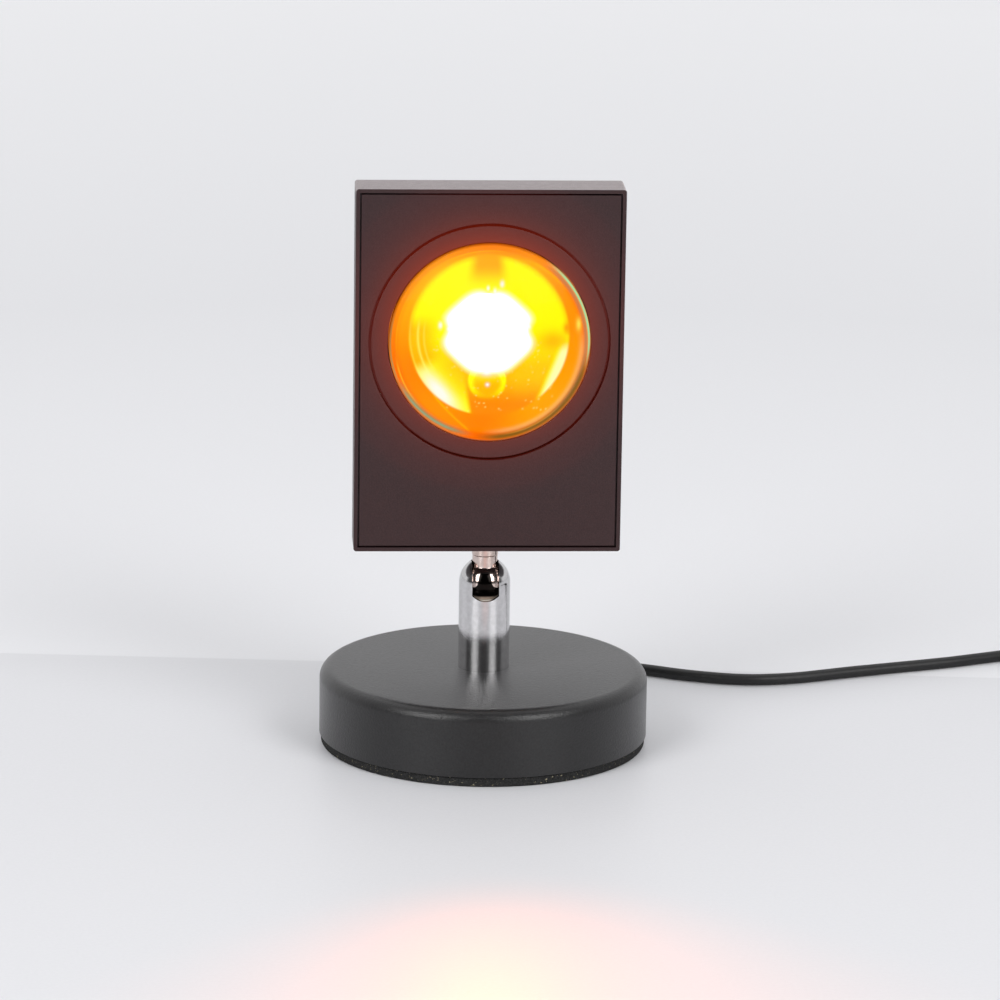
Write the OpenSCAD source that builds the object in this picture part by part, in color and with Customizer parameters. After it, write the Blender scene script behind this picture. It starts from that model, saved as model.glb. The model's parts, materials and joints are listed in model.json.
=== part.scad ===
// Sunset projection lamp: a rectangular head on a slotted ball swivel over a weighted base, with a cord.
// Millimetres. Z is up, the head faces -Y, and the origin is the middle of the foot pad's underside.

/* [Base] */
// Diameter of the base cover
base_d = 95; // [88:1:110]
// Height of the base cover
base_h = 19.4; // [18:0.2:26]
// Radius of the cover's rolled top edge
base_edge_r = 3.5; // [2:0.25:6]
// Wall of the base cover
cover_wall = 1.2; // [0.8:0.1:1.6]
// Thickness of the foot pad
pad_t = 2.8; // [1.5:0.1:4]
// How far the pad stands in from the cover's edge
pad_inset = 0.5; // [0.3:0.1:4]
// Height of the weight in the base
weight_h = 11.6; // [8:0.2:12]
// Radius of the well in the middle of the weight
weight_well_r = 12; // [10:0.5:16]
// Height of the cord's outlet above the cover's lower rim
outlet_rise = 5.2; // [5:0.1:7]

/* [Swivel stem] */
// Diameter of the barrel
barrel_d = 14.8; // [14:0.2:18]
// Wall of the barrel
barrel_wall = 1.25; // [1:0.05:1.5]
// Height of the ball's centre above the base
ball_rise = 25.3; // [24:0.1:36]
// Diameter of the neck
neck_d = 7.3; // [6.8:0.1:8]
// Diameter of the neck's threaded end
thread_d = 6; // [5.4:0.1:6.4]
// Bore of the neck
neck_bore = 4; // [3.7:0.1:4.4]
// Radius of the slot's lower end
slot_arc_r = 5.8; // [4.6:0.1:8]
// Room under the neck when it lies level in the slot
slot_floor_gap = 0.5; // [0.3:0.1:1]
// Height of the collar on the neck
collar_h = 3; // [2:0.1:4]
// Diameter of the collar
collar_d = 7.6; // [7:0.1:9]
// Height of the head's underside above the ball's centre
neck_rise = 11.4; // [11:0.1:16]
// Diameter of the nipple that joins the barrel to the base
nipple_d = 10; // [9:0.1:10.4]
// Bore of the nipple
nipple_bore = 6.6; // [5:0.1:7]
// Height of the plug in the barrel's lower end
plug_h = 9; // [6:0.5:10]
// Wire of the seat spring
spring_wire = 0.9; // [0.7:0.05:1]
// Turns of the seat spring
spring_turns = 4; // [3:1:4]

/* [Head] */
// Width of the head
head_w = 76.5; // [68:0.5:86]
// Height of the head
head_h = 105.5; // [94:0.5:130]
// Depth of the front case
case_depth = 14; // [13:0.5:18]
// Distance from the head's front to the neck's axis
neck_setback = 9; // [8.5:0.1:9.5]
// Wall of the front case
case_wall = 1.8; // [1.5:0.1:2.2]
// Radius of the front case's outside corners
case_corner_r = 0.8; // [0.4:0.1:1.2]
// Width of the rim that shows round the panel
rim_w = 1.1; // [0.8:0.1:1.5]
// Width of the groove between rim and panel
rim_groove = 0.5; // [0.3:0.1:0.8]
// Width of the ledge that the panel rests on
ledge_w = 3.6; // [3:0.1:5]
// Thickness of the ledge
ledge_t = 1.5; // [1:0.1:2]
// Thickness of the front panel
panel_t = 2; // [1.6:0.1:2.4]
// How far the panel lies behind the rim
panel_recess = 0.2; // [0.1:0.1:0.6]
// Distance of the rear screws from the sides of the head
screw_inset = 7.5; // [7:0.1:9]
// Depth of the rear shell
rear_depth = 15.5; // [15:0.5:18]
// Step from the case to the rear shell
rear_step = 0.6; // [0.3:0.1:1]
// How far the rear shell tapers in on each side
rear_taper = 4; // [3:0.1:4.4]
// Radius of the rear shell's corners
rear_corner_r = 3; // [1.5:0.1:4]
// Wall of the rear shell
rear_wall = 1.6; // [1.2:0.1:2]
// Number of cooling slots
vent_count = 8; // [4:1:9]
// Length of a cooling slot
vent_l = 40; // [20:1:46]
// Width of a cooling slot
vent_w = 2; // [1:0.1:3]
// Distance from slot to slot
vent_pitch = 5.4; // [4:0.1:6]

/* [Light] */
// Distance from the head's top to the lens axis
lens_drop = 44.2; // [42:0.1:46]
// Distance from the head's side to the bezel ring
bezel_margin = 4.6; // [4:0.1:7]
// Width of the bezel ring's face
bezel_w = 4.65; // [3.8:0.05:8]
// Width of the groove round the bezel ring
bezel_groove = 0.8; // [0.3:0.1:0.9]
// Thickness of the bezel ring
bezel_t = 2.4; // [2:0.1:3]
// Height of the lens dome
lens_sag = 8; // [4:0.5:14]
// Gap between the lens and the bezel
lens_gap = 0.3; // [0.1:0.05:0.5]
// Thickness of the lens flange
flange_t = 2; // [1.5:0.1:2.5]
// Thickness of the gasket behind the lens
gasket_t = 1; // [0.6:0.1:1.4]
// Wall of the reflector
reflector_t = 1; // [0.6:0.1:1.2]
// Radius of the reflector's opening at the light source
reflector_mouth_r = 8.8; // [8.6:0.1:10]
// Depth of the reflector
reflector_depth = 10.6; // [9:0.1:11]
// Wall of the lamp cup's front part
cup_wall = 1.3; // [1:0.1:1.5]
// Step from the lamp cup's front bore to its rear part
cup_step = 3.1; // [2.8:0.1:5]
// Thickness of the lamp cup's floor
cup_floor_t = 2.5; // [2:0.1:3]
// Number of cooling fins, an even number
fin_count = 8; // [4:2:10]
// Thickness of a cooling fin
fin_t = 1.4; // [1:0.1:1.8]
// Distance from fin to fin
fin_pitch = 6; // [5.4:0.1:6.4]
// Radius of the light source's board
led_board_r = 14; // [13.6:0.1:15]
// Thickness of the light source's board
led_board_t = 1.6; // [1:0.1:2]
// Width of the light source
led_chip_w = 12; // [8:0.5:12]
// Thickness of the light source
led_chip_t = 0.8; // [0.5:0.1:1]

/* [Supply board] */
// Width of the supply board
driver_w = 40; // [38:1:44]
// Gap between the supply board and the lamp cup above it
driver_gap = 5.7; // [5:0.1:8]
// Thickness of the supply board
driver_t = 1.2; // [1:0.1:1.6]
// Height of the supply board above the head's underside
driver_rise = 8; // [7.5:0.1:8.5]
// Distance between the supply board and the rear shell
driver_standoff = 9.7; // [8.5:0.1:10]

/* [Cord] */
// Diameter of the cord
cord_d = 3.4; // [3:0.1:3.5]
// Length of the strain relief outside the base
bushing_l = 13; // [10:0.5:16]
// Number of ring grooves in the strain relief
bushing_rings = 4; // [2:1:5]
// Diameter across the middle of the coil's turns
coil_mid_d = 40; // [38:0.5:41]
// Gap from turn to turn in the coil
coil_gap = 0.5; // [0.45:0.05:0.6]
// Whole turns in the coil
coil_turns = 9; // [7:1:9]
// Thickness of the tie round the coil
tie_t = 0.8; // [0.5:0.1:1]
// Width of the tie
tie_w = 5; // [3:0.5:6]

/* [In-line switch] */
// Length of the switch case
switch_l = 38; // [34:0.5:38]
// Width of the switch case
switch_w = 13; // [12:0.1:14]
// Height of the switch case
switch_h = 11; // [10.8:0.1:12]
// Radius of the switch case's corners
switch_corner_r = 4; // [2:0.1:5]
// Wall of the switch case
switch_wall = 1.4; // [1:0.1:1.6]
// Bevel of the switch case's upper and lower edges
switch_bevel = 1; // [0.5:0.1:1.2]
// Diameter of the switch button
button_d = 7; // [5:0.1:7.6]
// How far the button stands up
button_stand = 1.8; // [1.6:0.1:2.4]
// How far the button travels
button_travel = 1.5; // [1:0.1:1.5]
// Length of the switch's cord boots
boot_l = 8; // [5:0.5:8]
// Number of ring grooves in a cord boot
boot_rings = 3; // [1:1:3]

/* [Plug] */
// Length of the plug's grip
grip_l = 20; // [16:0.5:24]
// Width of the plug's grip
grip_w = 15.6; // [14:0.1:18]
// Height of the plug's grip
grip_h = 8; // [7:0.1:10]
// Bevel of the grip's edges
grip_bevel = 1.2; // [0.5:0.1:2]
// Length of the boot at the grip's end
grip_boot_l = 10; // [6:0.5:12]
// Width of the plug's metal shell
shell_w = 12; // [11.5:0.1:12.5]
// Height of the plug's metal shell
shell_h = 4.5; // [4.3:0.1:4.8]
// Length of the plug's metal shell
shell_l = 13; // [11.8:0.1:16]
// Sheet of the plug's metal shell
shell_t = 0.35; // [0.25:0.05:0.4]

/* [Hidden] */
$fn = 72;

// Overshoot of a cut past the face that it opens
cut = 1;
// Radial clearance of a running fit
run_gap = 0.05;
// Radial clearance of a part that drops into its place
drop_gap = 0.15;
// Gap between faces that turn or slide past each other
face_gap = 0.1;

// Heights and depths that the pieces share
base_r = base_d / 2;
cover_bore_r = base_r - cover_wall;
base_top = pad_t + base_h;
cover_ceiling = base_top - cover_wall;
outlet_z = pad_t + outlet_rise;
ball_z = base_top + ball_rise;
head_z = ball_z + neck_rise;
head_top = head_z + head_h;
lens_z = head_top - lens_drop;
front_y = -neck_setback;
case_back_y = front_y + case_depth;
rear_y = case_back_y + rear_depth;

// Base and nipple fasteners
washer_t = 1;
washer_r = 9;
nut_across = 14;
nut_t = 4;
nipple_end = 1;
nipple_r = nipple_d / 2;
nipple_low_z = cover_ceiling - washer_t - nut_t - nipple_end;
cord_r = cord_d / 2;
cord_fit = 0.1;
bushing_neck_r = cord_r + 2;
bushing_flange_r = bushing_neck_r + 1.1;
bushing_flange_t = 1.5;
bushing_tip_r = cord_r + 0.7;
ring_groove_w = 0.5;
ring_groove_depth = 0.3;
channel_w = 2 * (bushing_flange_r + drop_gap);
outlet_seat_y = sqrt(pow(cover_bore_r, 2) - pow(bushing_flange_r, 2)) - face_gap;
outlet_in_y = outlet_seat_y - bushing_flange_t;
outlet_out_y = base_r + bushing_l;

// Swivel
barrel_r = barrel_d / 2;
barrel_bore_r = barrel_r - barrel_wall;
ball_r = barrel_bore_r - run_gap;
neck_r = neck_d / 2;
thread_r = thread_d / 2;
slot_gap = 0.22;
slot_w = neck_d + 2 * slot_gap;
slot_low_z = ball_z - neck_r - slot_floor_gap;
crown_hole_r = slot_w / 2 + 0.1;
seat_top_z = slot_low_z - 0.1;
seat_h = 4.6;
seat_low_z = seat_top_z - seat_h;
seat_bore_r = 2.4;
plug_top_z = base_top + plug_h;
spring_r = 4.7;
spring_low_z = plug_top_z + spring_wire / 2 + run_gap;
spring_top_z = seat_low_z - spring_wire / 2 - run_gap;
collar_top_z = head_z - face_gap;
collar_low_z = collar_top_z - collar_h;
neck_washer_t = 0.6;
neck_washer_r = 4.6;
locknut_across = 8;
locknut_t = 3;
locknut_z = head_z + case_wall + neck_washer_t;
thread_end_z = locknut_z + locknut_t + 1.5;

// Head shell and panel
panel_y = front_y + panel_recess;
panel_back_y = panel_y + panel_t;
ledge_back_y = panel_back_y + ledge_t;
screw_x = head_w / 2 - screw_inset;
screw_low_z = head_z + screw_inset;
screw_top_z = head_top - screw_inset;
block_half = 3;
pilot_r = 1.05;
pilot_l = 8;
well_r = 3.4;
well_head_r = 2.4;
well_hole_r = 1.3;
well_floor = 2.4;
rear_inner_y = rear_y - rear_wall;

// Optics, as depths behind the panel's face
bezel_r = head_w / 2 - bezel_margin;
lens_r = bezel_r - bezel_w - lens_gap;
bezel_eye_r = lens_r + lens_gap;
dome_r = (lens_r * lens_r + lens_sag * lens_sag) / (2 * lens_sag);
skirt_r = bezel_r - 0.7;
skirt_t = 1.4;
skirt_bore_r = skirt_r - skirt_t;
stack_gap = 0.05;
stack_r = skirt_bore_r - lens_gap;
lens_flange_d0 = bezel_t + stack_gap;
gasket_d0 = lens_flange_d0 + flange_t + stack_gap;
reflector_d0 = gasket_d0 + gasket_t + stack_gap;
cup_shoulder_d0 = reflector_d0 + reflector_t + stack_gap;
skirt_d1 = cup_shoulder_d0 - 0.8;
cup_d0 = max(panel_t, bezel_t) + face_gap;
cup_bore_r = skirt_r + drop_gap;
cup_r = cup_bore_r + cup_wall;
cup_shoulder_t = 1.55;
cup_rear_r = cup_bore_r - cup_step;
cup_rear_bore_r = cup_rear_r - 1.5;
reflector_d1 = reflector_d0 + reflector_depth;
chip_d0 = reflector_d1 + 0.3;
led_board_d0 = chip_d0 + led_chip_t;
cup_floor_d0 = led_board_d0 + led_board_t;
fin_d0 = cup_floor_d0 + cup_floor_t;
fin_d1 = rear_inner_y - panel_y - 0.4;
chip_lens_r = led_chip_w * 0.42;
chip_lens_t = 0.2;
boss_r = 2.4;
boss_h = 3;
boss_at = bezel_r + 4.9;
ear_r = 3.6;
ear_t = 1.5;
ear_d0 = panel_t + boss_h + stack_gap;
small_screw_r = 0.75;
small_pilot_r = 0.8;
small_head_r = 1.9;
small_head_t = 1.2;
flat_head_r = 1.5;
flat_head_t = 0.6;
led_screw_at = led_board_r - 2;
wire_r = 0.6;
wire_x = 1.2;
wire_hole_r = 2.6;
wire_hole_z = lens_z - led_board_r - 3;

// Supply board
driver_back_y = rear_inner_y - driver_standoff;
driver_y = driver_back_y - driver_t;
driver_z = head_z + driver_rise;
driver_h = lens_z - cup_rear_r - driver_gap - driver_z;
driver_mid_z = driver_z + driver_h / 2;
post_r = 2.2;
post_x = driver_w / 2 - 4;
terminal = [8, 5, 6];
terminal_z = driver_z + 3.5;
capacitor_r = 2.6;
capacitor_l = 5;
choke = [6, 3.2, 6];
lead_top_z = terminal_z - 0.3;

// Coil
coil_x = 204;
coil_y = 64.5;
coil_step = cord_d + coil_gap;
coil_start = 90;
coil_finish = 70;
coil_sweep = 360 * coil_turns + coil_start - coil_finish;
coil_half = coil_sweep / 2;
coil_outer_r = coil_mid_d / 2 + coil_step * coil_half / 720;
coil_z = tie_t + run_gap * 2 + cord_r;
loop_rings = 24;
loop_sides = 6;
cord_sides = 8;
coil_inner_r = coil_outer_r - coil_step * coil_half / 360;
tie_angle = -25;
tie_gap = 0.4;
tie_r0 = coil_inner_r - cord_r - tie_gap - 0.4;
tie_r1 = coil_outer_r + cord_r + tie_gap;
tie_top = coil_z + coil_step + cord_r + tie_gap;
tie_corner_r = 1.6;

// Switch
switch_x = 244;
switch_y = 30;
switch_end_y = switch_y + switch_l / 2;
switch_low_y = switch_y - switch_l / 2;
switch_mid_z = switch_h / 2;
boot_r = cord_r + 1.4;
boot_tip_r = cord_r + 0.7;
button_r = button_d / 2;
button_flange_r = button_r + 1;
button_flange_t = 1;
switch_ceiling = switch_h - switch_wall;
button_flange_z = switch_ceiling - face_gap * 2 - button_flange_t;
core_top_z = button_flange_z - button_travel - 0.2;
core_w = switch_w - 2 * switch_wall - 2;
core_l = 14;
core_cap_r = 2.2;
core_cap_h = 0.8;

// Plug
plug_x = switch_x;
plug_cord_y = -21;
grip_back_y = plug_cord_y - grip_boot_l;
grip_front_y = grip_back_y - grip_l;
plug_z = grip_h / 2;
grip_boot_r = 3.3;
grip_boot_tip_r = cord_r + 0.6;
tongue_h = 1.9;
tongue_w = shell_w - 2 * shell_t - 0.2;
tongue_l = shell_l - 0.5;
tongue_z = plug_z + shell_h / 2 - shell_t - face_gap - tongue_h;
shell_window = 2.5;
shell_window_at = 5.2;
shell_window_x = 2.9;
contact_w = 1;
contact_l = 7;
contact_t = 0.15;
contact_pitch = 2.3;
contact_set = 3;

// Colours
case_black = "#3a3231";
base_black = "#3b3b3c";
pad_black = "#1c1c1d";
cord_black = "#161617";
chrome_grey = "#c9cacc";
nickel_grey = "#cfc4b8";
steel_grey = "#9a9ca0";
iron_grey = "#55565a";
brass_gold = "#c8a24a";
board_green = "#2f5a3c";
board_white = "#e6e6e2";
lamp_silver = "#b9bbbd";
lens_amber = "#f5a21c";
chip_yellow = "#f2d55c";
seat_white = "#dcd8cc";

// Route of the lead inside the base: from the outlet to the middle and up the nipple
lead_bend_y = 12;
inner_route = [
  [0, outlet_in_y, outlet_z], [0, 28, outlet_z], [0, lead_bend_y, outlet_z],
  [0, 8.2, outlet_z + 0.6], [0, 4.6, outlet_z + 2.2], [0, 1.8, outlet_z + 5],
  [0, 0.4, outlet_z + 8.4], [0, 0, outlet_z + 12], [0, 0, plug_top_z],
  [0, 0, ball_z - ball_r - 0.8]];

// Route of the free cord from the outlet to the coil
lead_z = cord_r + 0.05;
lead_route = concat(
  [[0, outlet_in_y, outlet_z], [0, outlet_out_y, outlet_z]],
  [[0.3, 66, 7.7], [2.6, 72.5, 6.6], [7.6, 77.6, 5.1], [14.6, 80.2, 3.6], [22.4, 79.6, 2.5], [30, 76.8, 1.9]],
  [for (p = [[38, 73], [46.4, 69], [54.6, 65.2], [62, 61.4], [69.2, 58.4], [76.6, 56.1], [84, 55],
             [91.8, 55.6], [99.6, 57.4], [107.4, 60.2], [115.4, 63.2], [123.4, 65.8], [131.4, 68.4],
             [139.4, 71], [147.4, 73.8], [155.6, 77.2], [163.8, 80.6], [172, 84], [180, 87.2]])
    [p[0], p[1], lead_z]],
  [[187.4, 90.2, 2], [194, 92.4, 2.4], [197.2, 93.1, coil_z], coil_point(0) - coil_heading(0) * cord_d]);

// Route from the coil to the switch, and from the switch to the plug
tail_route = concat(
  [coil_point(coil_sweep) + coil_heading(coil_sweep) * cord_d],
  [[221.5, 88.9, 6.3], [227.6, 85.7, 5.4], [233, 81.2, 4.6], [237.6, 75.8, 4.3], [241, 69.4, 4.6]],
  [[243.2, 62.6, 5.2]],
  [[switch_x, switch_end_y + boot_l, switch_mid_z], [switch_x, switch_end_y, switch_mid_z]]);
end_route = [
  [switch_x, switch_low_y, switch_mid_z], [switch_x, switch_low_y - boot_l, switch_mid_z],
  [switch_x, -4, 5], [switch_x, -10, 4.4], [switch_x, -16, plug_z], [switch_x, plug_cord_y, plug_z]];

// Point of the coil after a turn of a degrees: in on the lower layer, out again on the upper one
function coil_radius(a) = coil_outer_r - coil_step * min(a, coil_sweep - a) / 360;
function coil_climb(a) = min(1, max(0, (a - coil_half + 90) / 180));
function coil_height(a) = coil_z + coil_step * (1 - cos(180 * coil_climb(a))) / 2;
function coil_point(a) = [
  coil_x + coil_radius(a) * cos(coil_start - a),
  coil_y + coil_radius(a) * sin(coil_start - a),
  coil_height(a)];
function coil_heading(a) = [sin(coil_start - a), -cos(coil_start - a), 0];
coil_rings = ceil(coil_sweep * loop_rings / 360);
coil_route = concat(
  [coil_point(0) - coil_heading(0) * cord_d],
  [for (i = [0 : coil_rings]) coil_point(coil_sweep * i / coil_rings)],
  [coil_point(coil_sweep) + coil_heading(coil_sweep) * cord_d]);

// Least distance between points of a wound tube that lie more than half a loop apart, less its diameter
function self_gap(route, apart, d) = min([
  for (i = [0 : len(route) - 1 - apart], j = [i + apart : len(route) - 1]) norm(route[i] - route[j])]) - d;

// Helix of the seat spring
spring_rings = 8;
spring_steps = spring_turns * spring_rings;
spring_route = [for (i = [0 : spring_steps]) [
  spring_r * cos(360 * i / spring_rings),
  spring_r * sin(360 * i / spring_rings),
  spring_low_z + (spring_top_z - spring_low_z) * i / spring_steps]];

echo(coil_least_gap = self_gap(coil_route, loop_rings / 2, cord_d));
echo(spring_least_gap = self_gap(spring_route, spring_rings / 2, spring_wire));

// Tube of round section along a route; up is any direction that the route never runs along
function unit(v) = v / norm(v);
function route_heading(route, i) =
  let (last = len(route) - 1)
  unit(route[min(i + 1, last)] - route[max(i - 1, 0)]);
function ring_point(route, i, r, a, up) =
  let (t = route_heading(route, i), s = unit(cross(t, up)), n = cross(s, t))
  route[i] + r * (cos(a) * s + sin(a) * n);

module tube(route, r, sides, up = [0, 0, 1]) {
  last = len(route) - 1;
  points = [for (i = [0 : last], k = [0 : sides - 1]) ring_point(route, i, r, 360 * (k + 0.5) / sides, up)];
  walls = [for (i = [0 : last - 1], k = [0 : sides - 1])
    let (a = i * sides + k, b = i * sides + (k + 1) % sides)
    each [[a, b, b + sides], [a, b + sides, a + sides]]];
  start_cap = [for (k = [1 : sides - 2]) [0, k + 1, k]];
  end_cap = [for (k = [1 : sides - 2]) [last * sides, last * sides + k, last * sides + k + 1]];
  polyhedron(points, concat(walls, start_cap, end_cap));
}

// Flat ring or disc, standing on z
module ring(r, h, bore, z) {
  translate([0, 0, z]) difference() {
    cylinder(r = r, h = h);
    translate([0, 0, -cut]) cylinder(r = bore, h = h + 2 * cut);
  }
}

// Hexagon nut
module hex_nut(across, h, bore, z) {
  translate([0, 0, z]) difference() {
    cylinder(d = across / cos(30), h = h, $fn = 6);
    translate([0, 0, -cut]) cylinder(r = bore, h = h + 2 * cut);
  }
}

// Half profile of a lid with a rolled edge
module lid_profile(r, h, edge) {
  square([r - edge, h]);
  square([r, h - edge]);
  translate([r - edge, h - edge]) circle(edge);
}

// Rectangle with round corners, centred
module round_rect(w, h, r) {
  square([w - 2 * r, h], center = true);
  square([w, h - 2 * r], center = true);
  for (x = [-1, 1], y = [-1, 1]) translate([x * (w / 2 - r), y * (h / 2 - r)]) circle(r);
}

// Block along Y from y0 to y1 that narrows from half sizes a to half sizes b, about the middle height z
module wedge_block(y0, y1, a, b, z) {
  intersection() {
    translate([0, 0, z - a[1] - cut]) linear_extrude(2 * a[1] + 2 * cut)
      polygon([[-a[0], y0], [a[0], y0], [b[0], y1], [-b[0], y1]]);
    translate([-a[0] - cut, 0, z]) rotate([90, 0, 90]) linear_extrude(2 * a[0] + 2 * cut)
      polygon([[y0, -a[1]], [y0, a[1]], [y1, b[1]], [y1, -b[1]]]);
  }
}

// Lens axis: what is drawn along z lies behind the panel's face
module on_lens_axis() {
  translate([0, panel_y, lens_z]) rotate([-90, 0, 0]) children();
}

// Screw along z with its head below z = 0 and its shank above
module screw(head_r, head_t, shank_r, shank_l) {
  translate([0, 0, -head_t]) cylinder(r = head_r, h = head_t);
  cylinder(r = shank_r, h = shank_l);
}

module base_cover() {
  color(base_black) difference() {
    translate([0, 0, pad_t]) rotate_extrude() difference() {
      lid_profile(base_r, base_h, base_edge_r);
      translate([0, -cut])
        lid_profile(cover_bore_r, base_h - cover_wall + cut, max(base_edge_r - cover_wall, 0.3));
    }
    translate([0, 0, cover_ceiling - cut]) cylinder(r = nipple_r + drop_gap, h = cover_wall + 2 * cut);
    translate([0, cover_bore_r - 2 * cut, outlet_z]) rotate([-90, 0, 0])
      cylinder(r = bushing_neck_r + drop_gap, h = cover_wall + 4 * cut);
  }
}

module base_weight() {
  color(iron_grey) translate([0, 0, pad_t]) difference() {
    cylinder(r = cover_bore_r - drop_gap, h = weight_h);
    translate([0, 0, -cut]) cylinder(r = weight_well_r, h = weight_h + 2 * cut);
    translate([-channel_w / 2, 0, -cut]) cube([channel_w, base_r, weight_h + 2 * cut]);
  }
}

module foot_pad() {
  color(pad_black) cylinder(r = base_r - pad_inset, h = pad_t);
}

module stem_nipple() {
  color(steel_grey) ring(nipple_r, plug_top_z - nipple_low_z, nipple_bore / 2, nipple_low_z);
}

module nipple_washer() {
  color(steel_grey) ring(washer_r, washer_t, nipple_r + drop_gap, cover_ceiling - washer_t);
}

module nipple_nut() {
  color(steel_grey) hex_nut(nut_across, nut_t, nipple_r + run_gap, cover_ceiling - washer_t - nut_t);
}

// Section of the ring grooves that let a tapered boot bend, evenly spread from y0 to y1
module ring_grooves(count, r0, r1, y0, y1) {
  pitch = (y1 - y0) / (count + 1);
  for (i = [1 : count])
    translate([r0 + (r1 - r0) * i / (count + 1) - ring_groove_depth, y0 + i * pitch - ring_groove_w / 2])
      square([r0, ring_groove_w]);
}

module cord_bushing() {
  outside = base_r + face_gap;
  taper_y = outside + bushing_flange_t;
  color(cord_black) translate([0, 0, outlet_z]) rotate([-90, 0, 0]) rotate_extrude() difference() {
    union() {
      translate([0, outlet_in_y]) square([bushing_flange_r, bushing_flange_t]);
      translate([0, outlet_in_y]) square([bushing_neck_r, base_r - outlet_in_y + cut]);
      polygon([[0, outside], [bushing_flange_r, outside], [bushing_flange_r, taper_y],
               [bushing_neck_r, taper_y], [bushing_tip_r, outlet_out_y], [0, outlet_out_y]]);
    }
    ring_grooves(bushing_rings, bushing_neck_r, bushing_tip_r, taper_y, outlet_out_y);
    translate([0, outlet_in_y - cut]) square([cord_r + cord_fit, outlet_out_y - outlet_in_y + 2 * cut]);
  }
}

module base_lead() {
  color(cord_black) tube(inner_route, cord_r, cord_sides, [1, 0, 0]);
}

module swivel_barrel() {
  color(chrome_grey) difference() {
    rotate_extrude() difference() {
      barrel_profile(barrel_r, base_top);
      barrel_profile(barrel_bore_r, base_top - cut);
    }
    translate([0, 0, ball_z]) cylinder(r = crown_hole_r, h = barrel_r + cut);
    rotate([90, 0, 0]) linear_extrude(barrel_r + cut) slot_outline();
  }
}

// Half profile of a round bar with a domed top
module barrel_profile(r, low_z) {
  translate([0, low_z]) square([r, ball_z - low_z]);
  intersection() {
    translate([0, ball_z]) circle(r);
    translate([0, ball_z]) square([r, r]);
  }
}

// Outline of the slot in the barrel's front
module slot_outline() {
  arc_z = slot_low_z + slot_arc_r;
  intersection() {
    translate([-slot_w / 2, slot_low_z]) square([slot_w, ball_z + barrel_r + cut - slot_low_z]);
    union() {
      translate([0, arc_z]) circle(slot_arc_r);
      translate([-slot_w, arc_z]) square([2 * slot_w, barrel_d]);
    }
  }
}

module barrel_plug() {
  color(brass_gold) ring(barrel_bore_r - run_gap, plug_h, nipple_r + run_gap, base_top);
}

module seat_spring() {
  color(steel_grey) tube(spring_route, spring_wire / 2, loop_sides);
}

module friction_seat() {
  color(seat_white) rotate_extrude() difference() {
    translate([seat_bore_r, seat_low_z]) square([barrel_bore_r - run_gap - seat_bore_r, seat_h]);
    translate([0, ball_z]) circle(ball_r + run_gap);
  }
}

module swivel_neck() {
  color(nickel_grey) difference() {
    union() {
      translate([0, 0, ball_z]) sphere(r = ball_r);
      translate([0, 0, ball_z]) cylinder(r = neck_r, h = collar_low_z - ball_z);
      translate([0, 0, ball_z]) cylinder(r = thread_r, h = thread_end_z - ball_z);
    }
    translate([0, 0, ball_z - ball_r - cut])
      cylinder(d = neck_bore, h = thread_end_z - ball_z + ball_r + 2 * cut);
  }
}

module neck_collar() {
  color(nickel_grey) ring(collar_d / 2, collar_h, thread_r + run_gap, collar_low_z);
}

module neck_lead() {
  low_z = ball_z - ball_r * 0.8;
  color(cord_black) translate([0, 0, low_z]) cylinder(r = cord_r, h = lead_top_z - low_z);
}

module head_frame() {
  opening_w = head_w - 2 * rim_w;
  opening_h = head_h - 2 * rim_w;
  inner_w = head_w - 2 * case_wall;
  inner_h = head_h - 2 * case_wall;
  color(case_black) difference() {
    union() {
      difference() {
        translate([0, case_back_y, head_z + head_h / 2]) rotate([90, 0, 0])
          linear_extrude(case_back_y - front_y) round_rect(head_w, head_h, case_corner_r);
        case_box(opening_w, opening_h, front_y - cut, panel_back_y);
        case_box(head_w - 2 * ledge_w, head_h - 2 * ledge_w, front_y - cut, case_back_y + cut);
        case_box(inner_w, inner_h, ledge_back_y, case_back_y + cut);
      }
      for (x = [-1, 1], z = [-1, 1]) corner_block(x, z);
    }
    at_rear_screws() translate([0, 0, -pilot_l]) cylinder(r = pilot_r, h = pilot_l + cut);
    translate([0, 0, head_z - cut]) cylinder(r = thread_r + run_gap, h = case_wall + 2 * cut);
  }
}

// Box on the head's middle, from y0 to y1
module case_box(w, h, y0, y1) {
  translate([-w / 2, y0, head_z + (head_h - h) / 2]) cube([w, y1 - y0, h]);
}

// Block in a corner of the case that a rear screw goes into, from the wall to past the screw
module corner_block(x, z) {
  side = screw_inset + block_half - rim_w;
  intersection() {
    translate([x * (head_w / 2 - rim_w - side / 2), (panel_back_y + case_back_y) / 2,
               head_z + head_h / 2 + z * (head_h / 2 - rim_w - side / 2)])
      cube([side, case_back_y - panel_back_y, side], center = true);
    case_box(head_w - rim_w, head_h - rim_w, panel_back_y, case_back_y);
  }
}

// The four rear screws' places on the case's back, drawn along +Y as z
module at_rear_screws() {
  for (x = [-screw_x, screw_x], z = [screw_low_z, screw_top_z])
    translate([x, case_back_y, z]) rotate([-90, 0, 0]) children();
}

module neck_washer() {
  color(steel_grey) ring(neck_washer_r, neck_washer_t, thread_r + run_gap, head_z + case_wall);
}

module neck_locknut() {
  color(steel_grey) hex_nut(locknut_across, locknut_t, thread_r + run_gap, locknut_z);
}

// The four places round the lens where the lamp cup is screwed to the panel
module at_bosses() {
  for (a = [45 : 90 : 315]) rotate([0, 0, a]) translate([boss_at, 0, 0]) children();
}

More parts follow.
